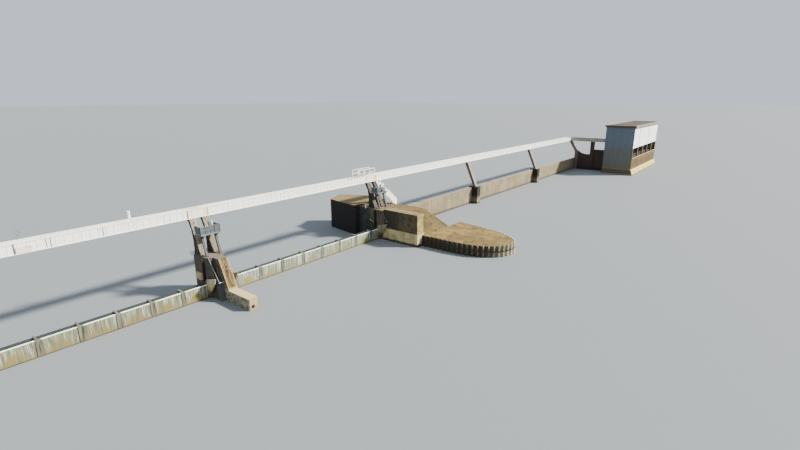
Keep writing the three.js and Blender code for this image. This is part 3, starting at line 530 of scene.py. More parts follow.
rail_panels = mesh_panel("rail_panels")
rail_base = 1.0303
rail_post, panel_gap, panel_in, panel_thick = 0.007, 0.005, 0.0074, 0.002
panel_levels = (rail_base + 0.008, rail_base + 0.117)
panel_press = (0.006, 0.0007)
lamp_foot = 1.194
strut_off, strut_y = 0.115, north - 0.382
strut_shoe = (-0.026, 0.026, 0, 0.054, 0.0003, 0.005)
for number, x in enumerate(pier_x):
    dress("pier_%d_hoist_platform" % number, platform_grating)
    dress("pier_%d_platform_rail" % number, pale_steel)
    rail_low, rail_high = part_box("pier_%d_platform_rail" % number)
    bay = (rail_high.x - rail_low.x - rail_post) / 4
    depth = (rail_high.y - rail_low.y - rail_post) / 2
    front = rail_low.y + panel_in
    panels = []
    for index in range(4 if number < 2 else 1):
        left = rail_low.x + rail_post / 2 + index * bay
        plate = bar(left + panel_gap, left + bay - panel_gap, front, front + panel_thick, *panel_levels)
        panels.append(sunk(plate, downstream, *panel_press))
    for side in (-1, 1) if number < 2 else (-1,):
        face = rail_low.x + panel_in if side < 0 else rail_high.x - panel_in
        x0, x1 = sorted((face, face - side * panel_thick))
        for index in range(2):
            near = rail_low.y + rail_post / 2 + index * depth
            plate = bar(x0, x1, near + panel_gap, near + depth - panel_gap, *panel_levels)
            panels.append(sunk(plate, Vector((side, 0, 0)), *panel_press))
    fixed("pier_%d_rail_panels" % number, panels, rail_panels)
    lamp_x, lamp_y = x + 0.040, rail_low.y + 0.0125
    head, hood = bars(lamp_x, lamp_y, lamp_foot, (-0.012, 0.012, -0.010, 0.008, 0, 0.028, 0.0025),
                      (-0.014, 0.014, -0.014, 0.009, 0.028, 0.031))
    post = upright(lamp_x, lamp_y, rail_base, lamp_foot + 0.002, 0.0032)
    parts = [post, sunk(head, downstream, 0.003, 0.0015), hood]
    fixed("pier_%d_lamp" % number, parts, white_box)
    shoes = []
    for centre in (x - strut_off, x + strut_off):
        bolt = upright(centre - 0.0215, strut_y + 0.0045, pier_top + 0.004, pier_top + 0.010, 0.0035, 6)
        shoes += bars(centre, strut_y, pier_top, strut_shoe)
        shoes.append(in_row(in_row(bolt, 2, (0.043, 0, 0)), 2, (0, 0.045, 0)))
    fixed("pier_%d_strut_shoes" % number, shoes, guide_steel)

# Winches.
# Two geared drums on one shaft lift each gate. Cast gear cases, grooved drums wound with wire rope
# that drops through the floor, a finned motor at the middle, and a control cabinet.
gear_paint = steel("gear_paint", (150, 158, 158), (122, 128, 128), (78, 74, 66), (104, 66, 40), 0.7, 0.6)
rope_steel = steel("rope_steel", (128, 126, 118), (98, 94, 86), (56, 50, 42), (92, 60, 38), 0.66, 0.7, 0.5)
winch_y = north - 0.2455
motor_radius, fin_radius, fin_pitch = 0.019, 0.0225, 0.0048
case_off, case_foot = 0.105, (0.031, 0.030)
drum_off, drum_radius, drum_rise = 0.147, 0.0278, 0.060
rope_y, rope_radius = winch_y - 0.0262, 0.0022
for number, x in enumerate(pier_x):
    dress("pier_%d_winch" % number, gear_paint)
    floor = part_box("pier_%d_winch" % number)[0].z
    shaft_z = floor + 0.040
    y = winch_y
    fin = rod((x - 0.048, y, shaft_z), (x - 0.0465, y, shaft_z), fin_radius, 20, 0.0004)
    motor = [rod((x - 0.052, y, shaft_z), (x - 0.006, y, shaft_z), motor_radius, 20, 0.002),
             in_row(fin, 9, (fin_pitch, 0, 0))]
    motor += bars(x, y, shaft_z, (-0.046, -0.012, -0.016, 0.016, -0.0397, -0.014, 0.0015),
                  (-0.038, -0.020, -0.010, 0.010, 0.017, 0.030, 0.002))
    for side in (-1, 1):
        for off in (0.030, 0.058):
            ring_x = x + side * off
            motor.append(rod((ring_x - 0.004, y, shaft_z), (ring_x + 0.004, y, shaft_z), 0.011, 16))
        foot_x, foot_y = x + side * case_off - case_foot[0], y - case_foot[1]
        foot = upright(foot_x, foot_y, floor + 0.058, floor + 0.0635, 0.0035, 6)
        motor.append(in_row(in_row(foot, 2, (2 * case_foot[0], 0, 0)), 2, (0, 2 * case_foot[1], 0)))
    fixed("pier_%d_winch_motor" % number, motor, gear_paint)
    ropes = []
    for side in (-1, 1):
        drum_x, drum_z = x + side * drum_off, floor + drum_rise
        start, end = drum_x - side * 0.0055, drum_x - side * 0.0035
        turn = rod((start, y, drum_z), (end, y, drum_z), drum_radius, 20, 0.0008)
        ropes.append(in_row(turn, 4, (side * 0.0028, 0, 0)))
        ropes.append(upright(drum_x, rope_y, drum_z, pier_top + 0.0150, rope_radius, 8))
        ropes += bars(drum_x, rope_y, pier_top, (-0.012, 0.012, -0.014, 0.014, 0.0003, 0.016, 0.002))
    fixed("pier_%d_winch_ropes" % number, ropes, rope_steel)
    door, handle, hood = bars(x, y, floor, (0.037, 0.071, -0.0022, 0.0005, 0.008, 0.152),
                              (0.065, 0.068, -0.0050, -0.0015, 0.072, 0.090),
                              (0.032, 0.076, -0.004, 0.032, 0.1595, 0.163))
    cabinet = [sunk(door, downstream, 0.003, 0.0008), handle, hood]
    fixed("pier_%d_cabinet_door" % number, cabinet, pale_steel)

# Gates.
# Welded steel leaves that slide up in the pier slots. Posts with capped tops stand at the joints of
# the skin plates, a steel lip takes the wear of the overflow, and water streaks the rest.
def past_post(x, first, pitch, width):
    """1 in a strip to the right of each post, and 0 beyond it."""
    return 1 - ease((x - first).maths("FLOORED_MODULO", pitch), width * 0.7, width)


def gate_skin(name, middle, half, first, pitch, tone, brown):
    """Steel under falling water: pale and dark runs, olive growth and rust low down, tan end wings with a
    painted shadow on their upstream part.
    """
    finish, shader, place = new_finish(name)
    at = axes(place)
    wide = noise(stretched(place, 9.0, 9.0, 0.9), 1.0, 3.0, 0.6)
    runs = noise(stretched(place, 34.0, 34.0, 2.4), 1.0, 5.0, 0.65)
    fine = noise(stretched(place, 95.0, 95.0, 4.0), 1.0, 4.0, 0.6)
    specks = noise(place, 60.0)
    wake = past_post(at.x, first, pitch, 0.066)
    from_post = (at.x - first).maths("PINGPONG", pitch / 2)
    between = ease(from_post + 0.08 * wide, pitch / 2 - 0.10, pitch / 2 + 0.02)
    colour = blended(ease(wide, 0.38, 0.62), (158, 158, 136), (196, 194, 172))
    low = 1 - ease(at.z - 0.10 * between + 0.07 * wide, 0.03, 0.13)
    top = blended(ease(specks, 0.54, 0.66), (50, 62, 55), (108, 122, 108))
    top = top.over((ease(at.y, gate_y - 0.062, gate_y - 0.030) * 0.8, (54, 66, 60)))
    wing = ease((at.x - middle).maths("ABSOLUTE"), half - 0.034, half - 0.031)
    tan = blended(ease(at.z + 0.08 * wide, 0.12, 0.26), (138, 124, 72), (255, 238, 196))
    tan = tan.over(
        (ease(runs, 0.47, 0.58) * 0.7, (114, 96, 62)),
        # Painted shadow on the upstream part of each end wing.
        (ease(at.y, gate_y - 0.115, gate_y - 0.07) * 0.85, (66, 62, 52)),
        (brown, (92, 68, 38)))
    colour = colour.over(
        (ease(runs, 0.5, 0.62) * 0.85, (246, 246, 236)),
        ((1 - ease(fine, 0.38, 0.48)) * 0.75, (98, 96, 76)),
        ((1 - ease(runs, 0.38, 0.48)) * 0.6, (116, 116, 92)),
        (wake * ease(fine, 0.4, 0.55) * 0.9, (70, 66, 54)),
        (low * ease(wide, 0.38, 0.56) * 0.8, (172, 162, 84)),
        (low * ease(runs + 0.3 * specks, 0.6, 0.76) * 0.7, (190, 138, 62)),
        (ease(facing_at(place).z, 0.3, 0.8) * 0.98, top),
        (wing, tan))
    shader.inputs["Metallic"].default_value = 0.05
    height = runs * 0.6 + fine * 0.4 + specks * 0.3
    return connect(finish, shader, colour, 0.4 + 0.35 * runs, height, 0.35, 0.003, tone)


def lip_skin(name, first, pitch):
    """Bright worn steel along the crest, broken by the growth beside each post."""
    finish, shader, place = new_finish(name)
    worn = noise(stretched(place, 14.0, 14.0, 14.0), 1.0, 5.0, 0.7)
    colour = blended(ease(worn, 0.52, 0.68), (250, 252, 246), (170, 170, 152))
    colour = colour.over((past_post(axes(place).x, first, pitch, 0.062) * 0.9, (96, 94, 78)))
    return connect(finish, shader, colour, 0.35 + 0.3 * worn, worn, 0.2, 0.002, (1.0, 1.0, 1.0))


face_y, back_y = gate_y - 0.095, gate_y + 0.0215
crest_rise, end_width, lip_in = 0.218, 0.047, 0.034
posts = 8
post_steel = steel("post_steel", (168, 168, 146), (130, 130, 108), (92, 92, 74), (96, 74, 46), 0.78)
leaf_looks = ((1, 0.442, 0.459, (0.46, 0.47, 0.4), 0.0), (2, 0.287, 0.484, (0.52, 0.59, 0.57), 0.6))
for number, last_post, pitch, tone, brown in leaf_looks:
    leaf_low, leaf_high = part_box("gate_%d_leaf" % number)
    left, right, foot = leaf_low.x + end_width, leaf_high.x - end_width, leaf_low.z
    crest = foot + crest_rise
    first = right - last_post - (posts - 1) * pitch
    middle, half = (left + right) / 2, (right - left) / 2
    skin = gate_skin("gate_%d_skin" % number, middle, half, first, pitch, tone, brown)
    dress("gate_%d_leaf" % number, skin)
    x0, x1 = left + lip_in, right - lip_in
    lip = [rod((x0, face_y + 0.003, crest - 0.001), (x1, face_y + 0.003, crest - 0.001), 0.0055, 16),
           bar(x0, x1, face_y - 0.0025, face_y + 0.0005, crest - 0.010, crest - 0.002)]
    lip_steel = lip_skin("gate_%d_lip_skin" % number, first, pitch)
    fixed("gate_%d_lip" % number, lip, lip_steel, "gate_%d" % number)
    post = bars(first, gate_y, crest, (-0.013, 0.013, -0.103, 0.016, 0.0215, 0.026),
                (-0.013, 0.013, -0.1045, -0.1005, -0.216, 0.022),
                (-0.004, 0.004, 0.0215, 0.0235, -0.214, -0.004))
    rows = [in_row(part, posts, (pitch, 0, 0)) for part in post]
    fixed("gate_%d_post_caps" % number, rows, post_steel, "gate_%d" % number)

rubber = dark_film("seal_rubber", (30, 30, 29), (66, 62, 52), 45.0, 0.6, 0.001)
seal_end = end_width + 0.005
for number in (1, 2):
    leaf_low, leaf_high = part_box("gate_%d_leaf" % number)
    seal = bar(leaf_low.x + seal_end, leaf_high.x - seal_end, back_y, back_y + 0.005,
               leaf_low.z + 0.002, leaf_low.z + 0.020)
    fixed("gate_%d_seal" % number, [seal], rubber, "gate_%d" % number)

# Abutment pier, quay wall and sills.
# Massive cast concrete, black with damp and painted shade on the river face and buff on the end that the sun
# reaches.
def quay_marks(place, facing, colour):
    """Cream and buff where spray washes the stepped foot, black at the water, olive on the end."""
    at = axes(place)
    cloud = noise(place, 9.0, 6.0, 0.65)
    fleck = noise(place, 34.0, 5.0, 0.65)
    side = 1 - ease(facing.z, 0.5, 0.9)
    foot = (1 - ease(at.z, 0.277, 0.284)) * side
    washed = blended(ease(cloud, 0.42, 0.58), (220, 206, 156), (255, 250, 214))
    olive = blended(ease(cloud, 0.42, 0.6), (186, 164, 100), (238, 214, 148))
    near_end = 1 - ease(at.y, north - 1.12, north - 0.80)
    bare = against(facing.x) * (1 - foot) * near_end
    black = (1 - ease(at.z + 0.05 * cloud, 0.06, 0.10)) * side
    return colour.over(
        (foot * 0.97, washed),
        (foot * ease(fleck, 0.58, 0.68) * 0.5, (86, 72, 48)),
        ((1 - foot) * against(facing.y, 0.5) * 0.9, olive),
        (bare * ease(cloud, 0.35, 0.6) * 0.8, (126, 120, 94)),
        (black * 0.9, (26, 24, 20)))


def abutment_marks(place, facing, colour):
    """Grey green growth on the upstream part of the river face, brown streaks down the rest, and painted
    shade on the slot faces that look downstream.
    """
    depth, left = axes(place).y, against(facing.x)
    # Painted shade in the gate slot, on faces that look downstream.
    slot = against(facing.y, 0.5) * ease(depth, north - 0.40, north - 0.36)
    cloud = noise(place, 11.0, 6.0, 0.65)
    rain = noise(stretched(place, 40.0, 40.0, 2.0), 1.0, 4.0, 0.6)
    grey = ease(depth, north - 0.20, north - 0.12)
    growth = blended(ease(cloud, 0.4, 0.6), (58, 67, 69), (88, 99, 101))
    return colour.over(
        (slot * 0.9, (84, 74, 62)),
        (left * grey * 0.9, growth),
        (left * (1 - grey) * ease(rain, 0.42, 0.58) * 0.9, (148, 134, 122)))


def basin_shade(place, facing, colour):
    """Painted shade on the short downstream face, as dark as the wet wall beside it."""
    return colour.over((against(facing.y, 0.5) * 0.95, (50, 46, 42)))


def river_cast(name, damp_and_shade, tide, marks, tone):
    """The old wet concrete of the river works, each with marks of its own."""
    return concrete(name, (186, 168, 126), (146, 130, 94), (88, 72, 46), damp_and_shade, (160, 142, 108), runs=0.6,
                    west_shade=1.25, tide=tide, boards=0.08, bays=1.2, marks=marks, tone=tone)


# The upstream quay is damp, with near black painted shade on its left and downstream faces.
damp_shaded_concrete = river_cast("damp_shaded_concrete", (31, 31, 32), 0.1, basin_shade, (0.46, 0.42, 0.3))
abutment_concrete = river_cast("abutment_concrete", (68, 65, 55), 0.1, abutment_marks, (0.42, 0.4, 0.34))
quay_concrete = river_cast("quay_concrete", (68, 65, 55), 0.02, quay_marks, (0.48, 0.44, 0.33))
sill_concrete = concrete("sill_concrete", (120, 112, 88), (96, 88, 68), (60, 52, 38), (38, 34, 28),
                         (112, 104, 78), tide=-1.0, bays=0.4)
dress("pier_2_body", abutment_concrete)
dress("upstream_quay", damp_shaded_concrete)
dress("quay_wall", quay_concrete)
ledge_z, ledge_half = 0.3895, 0.006
sloped = block(abutment_face - 0.006, abutment_face + 0.001, north - 0.246, north - 0.121,
               ledge_z - ledge_half, ledge_z + ledge_half)
for way, level in ((-1, 0.375), (1, 0.404)):
    chosen(sloped, lambda face: face.normal.y * way > 0.5)
    bpy.ops.transform.translate(value=(0, 0, level - ledge_z))
    bpy.ops.object.mode_set(mode="OBJECT")
fixed("abutment_ledge", [softened(sloped, 0.0015)], buff_concrete)
dress("sill_1", sill_concrete)
dress("sill_2", sill_concrete)
wall_low, wall_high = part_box("quay_wall")
coping_x, coping_width, joint_pitch = wall_low.x + 0.017, 0.231, 0.22
joint_y = wall_low.y + joint_pitch
joint = bar(coping_x, coping_x + coping_width, joint_y - 0.001, joint_y + 0.001,
            wall_high.z - 0.024, wall_high.z + 0.0006)
fixed("quay_coping_joints", [in_row(joint, 4, (0, joint_pitch, 0))], rubber)

# Quay yard and nose deck.
# Earth and gravel fill packed inside the walls, dry and tan, with darker olive patches by the edges.
def packed_fill(name, dry, dusty, soil, tone):
    """Broad dry and dusty ground, patches of soil, and pale stones that stand out of it."""
    finish, shader, place = new_finish(name)
    broad = noise(place, 2.2, 6.0, 0.6)
    patches = noise(place, 7.0, 6.0, 0.65)
    stones = place.node("TexVoronoi", {"feature": "F1"}, {"Vector": place, "Scale": 70.0})
    grit = noise(place, 120.0)
    colour = blended(ease(broad, 0.42, 0.58), dusty, dry)
    height = stones * -0.7 + grit * 0.5 + patches * 0.6
    colour = colour.over(
        (ease(patches, 0.5, 0.64) * 0.8, soil),
        ((1 - ease(stones, 0.1, 0.3)) * ease(patches, 0.35, 0.6) * 0.45, (222, 208, 178)))
    return connect(finish, shader, colour, 0.85 + 0.13 * grit, height, 0.7, 0.01, tone)


yard_fill = packed_fill("yard_fill", (196, 176, 140), (160, 138, 108), (108, 90, 44), (0.205, 0.177, 0.07))
deck_fill = packed_fill("deck_fill", (206, 182, 138), (160, 138, 100), (104, 88, 42), (0.37, 0.32, 0.14))
dress("quay_yard", yard_fill)
dress("nose_deck", deck_fill)

# Sheet piling.
# Interlocking rolled steel piles driven in a curve round the nose, weathered dark, with a waling
# beam bolted across them half way up.
pile_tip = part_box("sheet_pile_wall")[1].x


def pile_marks(place, facing, colour):
    """Cleaner, paler piles towards the tip, with a dark band half way up."""
    at = axes(place)
    tip = ease(at.x, pile_tip - 1.45, pile_tip - 0.45)
    cloud = noise(place, 14.0, 6.0, 0.65)
    low = tip * (1 - ease(at.z, 0.09, 0.11))
    band = ease(at.z, 0.095, 0.108) * (1 - ease(at.z, 0.130, 0.142))
    return colour.over(
        (tip * (0.85 + 0.15 * cloud), (255, 250, 226)),
        (low * 0.9, (255, 252, 236)),
        (band * 0.45, (70, 58, 46)))


pile_steel = concrete("rolled_piles", (206, 190, 152), (150, 134, 104), (74, 60, 44), (70, 64, 54),
                      (150, 138, 108), runs=0.6, west_shade=1.3, dust=0.4, tide=0.03, boards=0.5, bays=5.0,
                      marks=pile_marks, tone=(0.5, 0.48, 0.4))
dress("sheet_pile_wall", pile_steel)
waler_foot, waler_top, waler_width = 0.115, 0.127, 0.0498
land_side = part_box("nose_deck")[1].y - 0.024
deselect()
waler = bpy.data.objects.new("waler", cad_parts["nose_deck"].data.copy())
bpy.context.scene.collection.objects.link(waler)
waler.select_set(True)
bpy.context.view_layer.objects.active = waler
bpy.ops.object.mode_set(mode="EDIT")
bpy.ops.mesh.select_all(action="SELECT")
bpy.ops.mesh.remove_doubles(threshold=0.0001)
for height, above in ((waler_foot, False), (waler_top, True)):
    bpy.ops.mesh.select_all(action="SELECT")
    bpy.ops.mesh.bisect(plane_co=(0, 0, height), plane_no=(0, 0, 1), clear_inner=not above,
                        clear_outer=above)
bpy.ops.object.mode_set(mode="OBJECT")
chosen(waler, lambda face: face.center.y > land_side or abs(face.normal.z) > 0.5)
bpy.ops.mesh.delete(type="FACE")
bpy.ops.object.mode_set(mode="OBJECT")
wall = waler.modifiers.new("wall", "SOLIDIFY")
wall.thickness = waler_width
wall.offset = 1.0
bpy.ops.object.modifier_apply(modifier="wall")
waling_steel = steel("waling_steel", (92, 84, 72), (66, 60, 52), (40, 36, 32), (76, 56, 40), 0.7, 0.7, 0.2)
fixed("pile_waler", [waler], waling_steel)

# Footbridge.
# Two white plate girders stand up as parapets beside a boarded deck. Flat stiffeners are welded on
# at every metre, and bolted cover plates join the spans to the sections over the piers.
girder_white = steel("girder_white", (253, 253, 250), (246, 246, 240), (206, 202, 190), (150, 112, 80),
                     0.95, 0.3, tone=(1.0, 1.0, 0.97))
section_cream = steel("section_cream", (250, 245, 230), (238, 230, 208), (186, 172, 142), (140, 104, 70),
                      0.92, 0.45, tone=(1.0, 1.0, 0.95))
board_grey = steel("board_grey", (214, 212, 202), (192, 188, 176), (150, 142, 126), (126, 100, 72),
                   0.88, 0.5, tone=(0.8, 0.8, 0.78))
bridge_foot, bridge_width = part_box("footbridge_span_1")[0].z, 0.196
rib_places = ((0.0008, 0.0065, 0.0085), (0.1895, 0.1952, 0.0085), (0.0175, 0.0232, 0.0395),
              (0.1728, 0.1785, 0.0395))
rib_pitch, rib_half, rib_top = 0.1, 0.002, 0.1365
board_pitch, board_in, board_out, board_foot, board_top = 0.05, 0.025, 0.171, 0.0353, 0.039


def on_span(turned, start, end, near, far, foot, top, edge=0.0008):
    """A bar on a span, given along and across it. A turned span runs up the y axis."""
    plan = (near, far, start, end) if turned else (start, end, near, far)
    return bar(*plan, bridge_foot + foot, bridge_foot + top, edge)


def fitted_out(name, finish, side, rib, ribs, board, boards, turned=False):
    """Welds four rows of stiffeners on a span's girders and lays its deck boards."""
    way = Vector((0, 1, 0)) if turned else Vector((1, 0, 0))
    rows = []
    for near, far, foot in rib_places:
        plate = on_span(turned, rib - rib_half, rib + rib_half, side + near, side + far,
                        foot, rib_top, 0.0006)
        rows.append(in_row(plate, ribs, way * rib_pitch))
    fixed(name + "_stiffeners", rows, finish)
    plank = on_span(turned, board + 0.001, board + 0.049, side + board_in, side + board_out,
                    board_foot, board_top)
    fixed(name + "_boards", [in_row(plank, boards, way * board_pitch)], board_grey)


spans = ["footbridge_span_%d" % number for number in range(1, 6)]
sections = ["footbridge_pier_section_%d" % number for number in range(3)]
for node in spans + sections:
    finish = girder_white if node in spans else section_cream
    dress(node, finish)
    span_low, span_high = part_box(node)
    length = span_high.x - span_low.x
    ribs, boards = int((length - 0.03) / rib_pitch), int((length - 0.004) / board_pitch)
    first_rib = span_low.x + (length - (ribs - 1) * rib_pitch) / 2
    first_board = span_low.x + (length - boards * board_pitch) / 2
    fitted_out(node, finish, north, first_rib, ribs, first_board, boards)

cover_half, nut_off, nut_pitch, nut_z = 0.013, 0.007, 0.0202, bridge_foot + 0.022
covers = []
for node in sections:
    for x in (corner.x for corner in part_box(node)):
        open_end = x < cad_box[0].x + 0.1
        left = x + 0.0005 if open_end else x - cover_half
        for near, far, outside in ((0.0022, 0.0064, 0.0006), (0.1896, 0.1938, 0.1954)):
            covers.append(on_span(False, left, x + cover_half, north + near, north + far, 0.010, 0.135))
            for off in (nut_off,) if open_end else (-nut_off, nut_off):
                start, end = ((x + off, north + y, nut_z) for y in (outside, (near + far) / 2))
                covers.append(in_row(rod(start, end, 0.0032, 6, 0.0004), 6, (0, 0, nut_pitch)))
cover_tan = steel("cover_tan", (226, 214, 190), (204, 190, 160), (150, 132, 104), (130, 96, 64), 0.86, 0.6,
                  tone=(0.85, 0.83, 0.78))
fixed("footbridge_covers", covers, cover_tan)

strips = []
for x, half in ((1.258, 0.007), (1.593, 0.003), (1.640, 0.003), (2.254, 0.003), (3.470, 0.006),
                (7.660, 0.007), (8.000, 0.006)):
    for near, far in ((0.0004, 0.0066), (0.1894, 0.1956)):
        x0, x1 = east + x - half, east + x + half
        strips.append(on_span(False, x0, x1, north + near, north + far, 0.009, 0.136))
strip_grey = steel("strip_grey", (150, 146, 136), (120, 114, 104), (84, 76, 64), (104, 70, 46), 0.8, 0.6)
fixed("footbridge_strips", strips, strip_grey)
board_pink = steel("board_pink", (252, 214, 206), (246, 232, 220), (214, 196, 180), (160, 120, 90),
                   0.95, 0.5, tone=(1.0, 0.94, 0.9))
board = on_span(False, east + 1.272, east + 1.436, north - 0.0018, north + 0.0006, 0.016, 0.088)
fixed("girder_blank_board", [sunk(board, downstream, 0.002, 0.0006)], board_pink)

# Painted shade: the return span takes a darker copy of the girder white.
return_shaded_paint = steel("return_shaded_paint", (178, 180, 168), (160, 160, 148), (116, 112, 98), (120, 92, 62),
                     0.9, 0.6, tone=(0.7, 0.7, 0.66))
dress("footbridge_return_span", return_shaded_paint)
return_low, return_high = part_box("footbridge_return_span")
length = return_high.y - return_low.y
ribs, boards = int((length - 0.30) / rib_pitch), int((length - 0.03) / board_pitch)
fitted_out("return", return_shaded_paint, return_low.x, return_low.y + 0.050, ribs, return_low.y + 0.002, boards,
           turned=True)

# Gauge tube and sensor on the bridge.
# A white steel gauge tube clamps to the far girder of the first span and hangs below it, and
# further left a small sensor in a steel case stands on two splayed legs.
tube_x, tube_y, tube_radius = east + 2.690, north + bridge_width + 0.026, 0.022
tube_foot, tube_top = 1.130, 1.470
clamp_levels, girder_side = (1.245, 1.372), north + bridge_width - tube_y
gauge = []
for z0, z1, wider, edge in ((tube_foot, tube_top, 0.0, 0.001), (tube_top, tube_top + 0.020, 0.003, 0.004),
                            (tube_foot, tube_foot + 0.008, 0.003, 0.002)):
    gauge.append(upright(tube_x, tube_y, z0, z1, tube_radius + wider, 24, edge))
for z in clamp_levels:
    gauge.append(upright(tube_x, tube_y, z - 0.004, z + 0.004, tube_radius + 0.0025, 24, 0.001))
    gauge += bars(tube_x, tube_y, z,
                  (-0.016, 0.016, girder_side - 0.001, 0.002 - tube_radius, -0.005, 0.005))
fixed("gauge_tube", gauge, white_box)
sensor_x, sensor_y = east + 1.372, north + bridge_width - 0.012
rail_top = bridge_foot + 0.145
leg_ends = ((-0.010, -0.026), (0.006, 0.040))
sensor = []
for upper, lower in leg_ends:
    top = (sensor_x + upper, sensor_y, rail_top + 0.076)
    sensor.append(rod(top, (sensor_x + lower, sensor_y, rail_top + 0.0004), 0.005))
case, = bars(sensor_x, sensor_y, rail_top, (-0.040, 0.016, -0.011, 0.011, 0.070, 0.112, 0.003))
sensor.append(sunk(case, downstream, 0.005, 0.0015))
for upper, lower in leg_ends:
    sensor += bars(sensor_x + lower, sensor_y, rail_top, (-0.008, 0.008, -0.009, 0.009, 0.0003, 0.004))
fixed("bridge_sensor", sensor, pale_steel)

# Deck gantry and access stair.
# Light steel frame over the walkway that carries two grey switch panels, and a stair with deep
# white plate sides that drops from the bridge to the yard.
dress("deck_gantry", white_box)
panel_grey = steel("panel_grey", (178, 184, 184), (146, 152, 152), (96, 94, 88), (96, 64, 42), 0.82, 0.3)
panel_places = ((7.664, 7.766, 0.0028, 1.4660, 1.5335), (7.500, 7.560, 0.0065, 1.4640, 1.5300))
plates = []
for x0, x1, back, z0, z1 in panel_places:
    y, latch = north + back, east + x1 - 0.014
    plate = bar(east + x0, east + x1, y - 0.003, y + 0.0008, z0, z1)
    plates.append(sunk(plate, downstream, 0.005, 0.001))
    plates.append(bar(latch, latch + 0.004, y - 0.0055, y - 0.002, z0 + 0.026, z0 + 0.044))
fixed("gantry_panels", plates, panel_grey)
dress("access_stair", girder_white)
stair_low, stair_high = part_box("access_stair")
rail_rise, side_in, end_in, stair_side = 0.030, 0.003, 0.006, 0.128
posts = 6
rails = []
for y in (stair_low.y + side_in, stair_high.y - side_in):
    top = Vector((stair_low.x + end_in, y, stair_high.z + rail_rise))
    foot = Vector((stair_high.x - end_in, y, stair_low.z + stair_side + rail_rise))
    rails.append(rod(top, foot, 0.0035))
    for index in range(posts):
        x, _, z = top.lerp(foot, index / (posts - 1))
        rails.append(upright(x, y, z - 0.036, z, 0.0028))
fixed("stair_handrails", rails, girder_white)

# Raking legs, knee leg and dyke wall.
# Slender cast concrete legs carry the long spans over the dyke. The dyke wall is low, pale and
# cast in bays, with plinths for the legs.
leg_concrete = concrete("leg_concrete", (236, 218, 200), (206, 188, 170), (120, 104, 88), (138, 128, 122),
                        (190, 178, 160), runs=0.5, west_shade=1.1, tide=-1.0, boards=0.1, bays=9.0,
                        tone=(0.40, 0.38, 0.36))
for node in ("leg_a", "leg_b", "knee_leg"):
    dress(node, leg_concrete)
plinth_places = (12.230, 16.760)


def plinth_marks(place, facing, colour):
    """Black damp on the plinths under the legs."""
    at = axes(place)
    cloud = noise(place, 12.0, 6.0, 0.65)
    dark = blended(ease(cloud, 0.4, 0.6), (20, 22, 17), (36, 37, 28))
    for x in plinth_places:
        near = 1 - ease((at.x - (east + x)).maths("ABSOLUTE"), 0.096, 0.104)
        colour = colour.over((near * ease(at.z, 0.10, 0.28) * 0.95, dark))
    return colour


wall_pale = concrete("wall_pale", (196, 182, 152), (164, 150, 122), (112, 98, 72), (72, 64, 52),
                     (208, 192, 158), runs=0.6, west_shade=0.5, tide=0.05, boards=0.12, bays=0.6,
                     marks=plinth_marks)
dress("dyke_wall", wall_pale)
shoe_over, shoe_near, shoe_far = 0.010, north - 0.324, north - 0.204
shoes = []
for node in ("leg_a", "leg_b"):
    leg_low, leg_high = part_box(node)
    shoes.append(bar(leg_low.x - shoe_over, leg_high.x + shoe_over, shoe_near, shoe_far,
                     leg_low.z - 0.0001, leg_low.z + 0.007))
fixed("leg_shoes", shoes, guide_steel)

# Intake wall.
# Dark, damp cast wall with painted shade on its left faces, a dished top, a pier and a beam that ties it to
# the powerhouse.
intake_concrete = concrete("intake_concrete", (158, 128, 114), (116, 92, 82), (60, 46, 40), (52, 42, 41),
                           (160, 132, 112), runs=0.7, west_shade=0.9, tide=0.12, boards=0.1, bays=3.0)
dress("intake_wall", intake_concrete)

# Powerhouse.
# Concrete hall: white rendered panels above, buff and stained below the tall openings, on a pale
# battered base. The roof is a shallow tray with a raised edge.
def rendered(name, panel, lower, stain, shaded, split):
    """Walls painted white above a level and left bare below it, jointed into panels, with painted shade in
    blue grey on the faces that look along -x and a painted shadow band under the eaves.
    """
    finish, shader, place = new_finish(name)
    at, facing = axes(place), facing_at(place)
    clouds = noise(place, 2.6, 6.0, 0.6)
    rain = noise(stretched(place, 18.0, 18.0, 0.8), 1.0, 4.0, 0.6)
    grit = noise(place, 80.0)
    high = ease(at.z + 0.05 * clouds, split, split + 0.05)
    bare = blended(ease(clouds, 0.4, 0.6), lower, (98, 78, 22))
    bare = bare.over(
        (ease(rain, 0.46, 0.62) * 0.5, (70, 52, 24)),
        (ease(at.z + 0.1 * clouds, 0.52, 0.66) * ease(rain, 0.4, 0.6) * 0.5, (100, 90, 58)),
        (ease(facing.y, 0.4, 0.8) * 0.75, (104, 98, 82)))
    colour = bare.over((high, panel))
    # Painted shade: the faces that look along -x turn blue grey, olive near the foot.
    west_shade = against(facing.x, 0.3)
    shaded_wall = blended(ease(at.z, 0.9, 1.3), (92, 93, 90), shaded)
    shaded_wall = shaded_wall.over(
        (ease(rain, 0.45, 0.65) * 0.25, (60, 64, 64)),
        (1 - ease(at.z + 0.1 * clouds, 0.28, 0.50), (98, 92, 64)))
    lines = seam(at.x, 0.894, 0.024) + seam(at.y, 0.555, 0.020) + seam(at.z - split, 0.41, 0.006)
    pilaster = seam(at.x - (east + 21.604), 1.748, 0.05) * against(facing.y) * high
    # Painted shadow of the roof edge, in a band under the eaves.
    eave_shadow = ease(at.z, 1.845, 1.875) * (1 - west_shade)
    height = clouds * 0.3 + grit * 0.4 - lines * 0.7
    colour = colour.over(
        (ease(rain, 0.52, 0.7) * high * 0.3, stain),
        (west_shade, shaded_wall),
        (lines * (0.45 - 0.35 * west_shade), stain),
        (pilaster * 0.9, (92, 90, 82)),
        (eave_shadow * 0.8, (126, 130, 130)))
    return connect(finish, shader, colour, 0.7 + 0.25 * grit, height, 0.4, 0.005, (1.0, 1.0, 1.0))


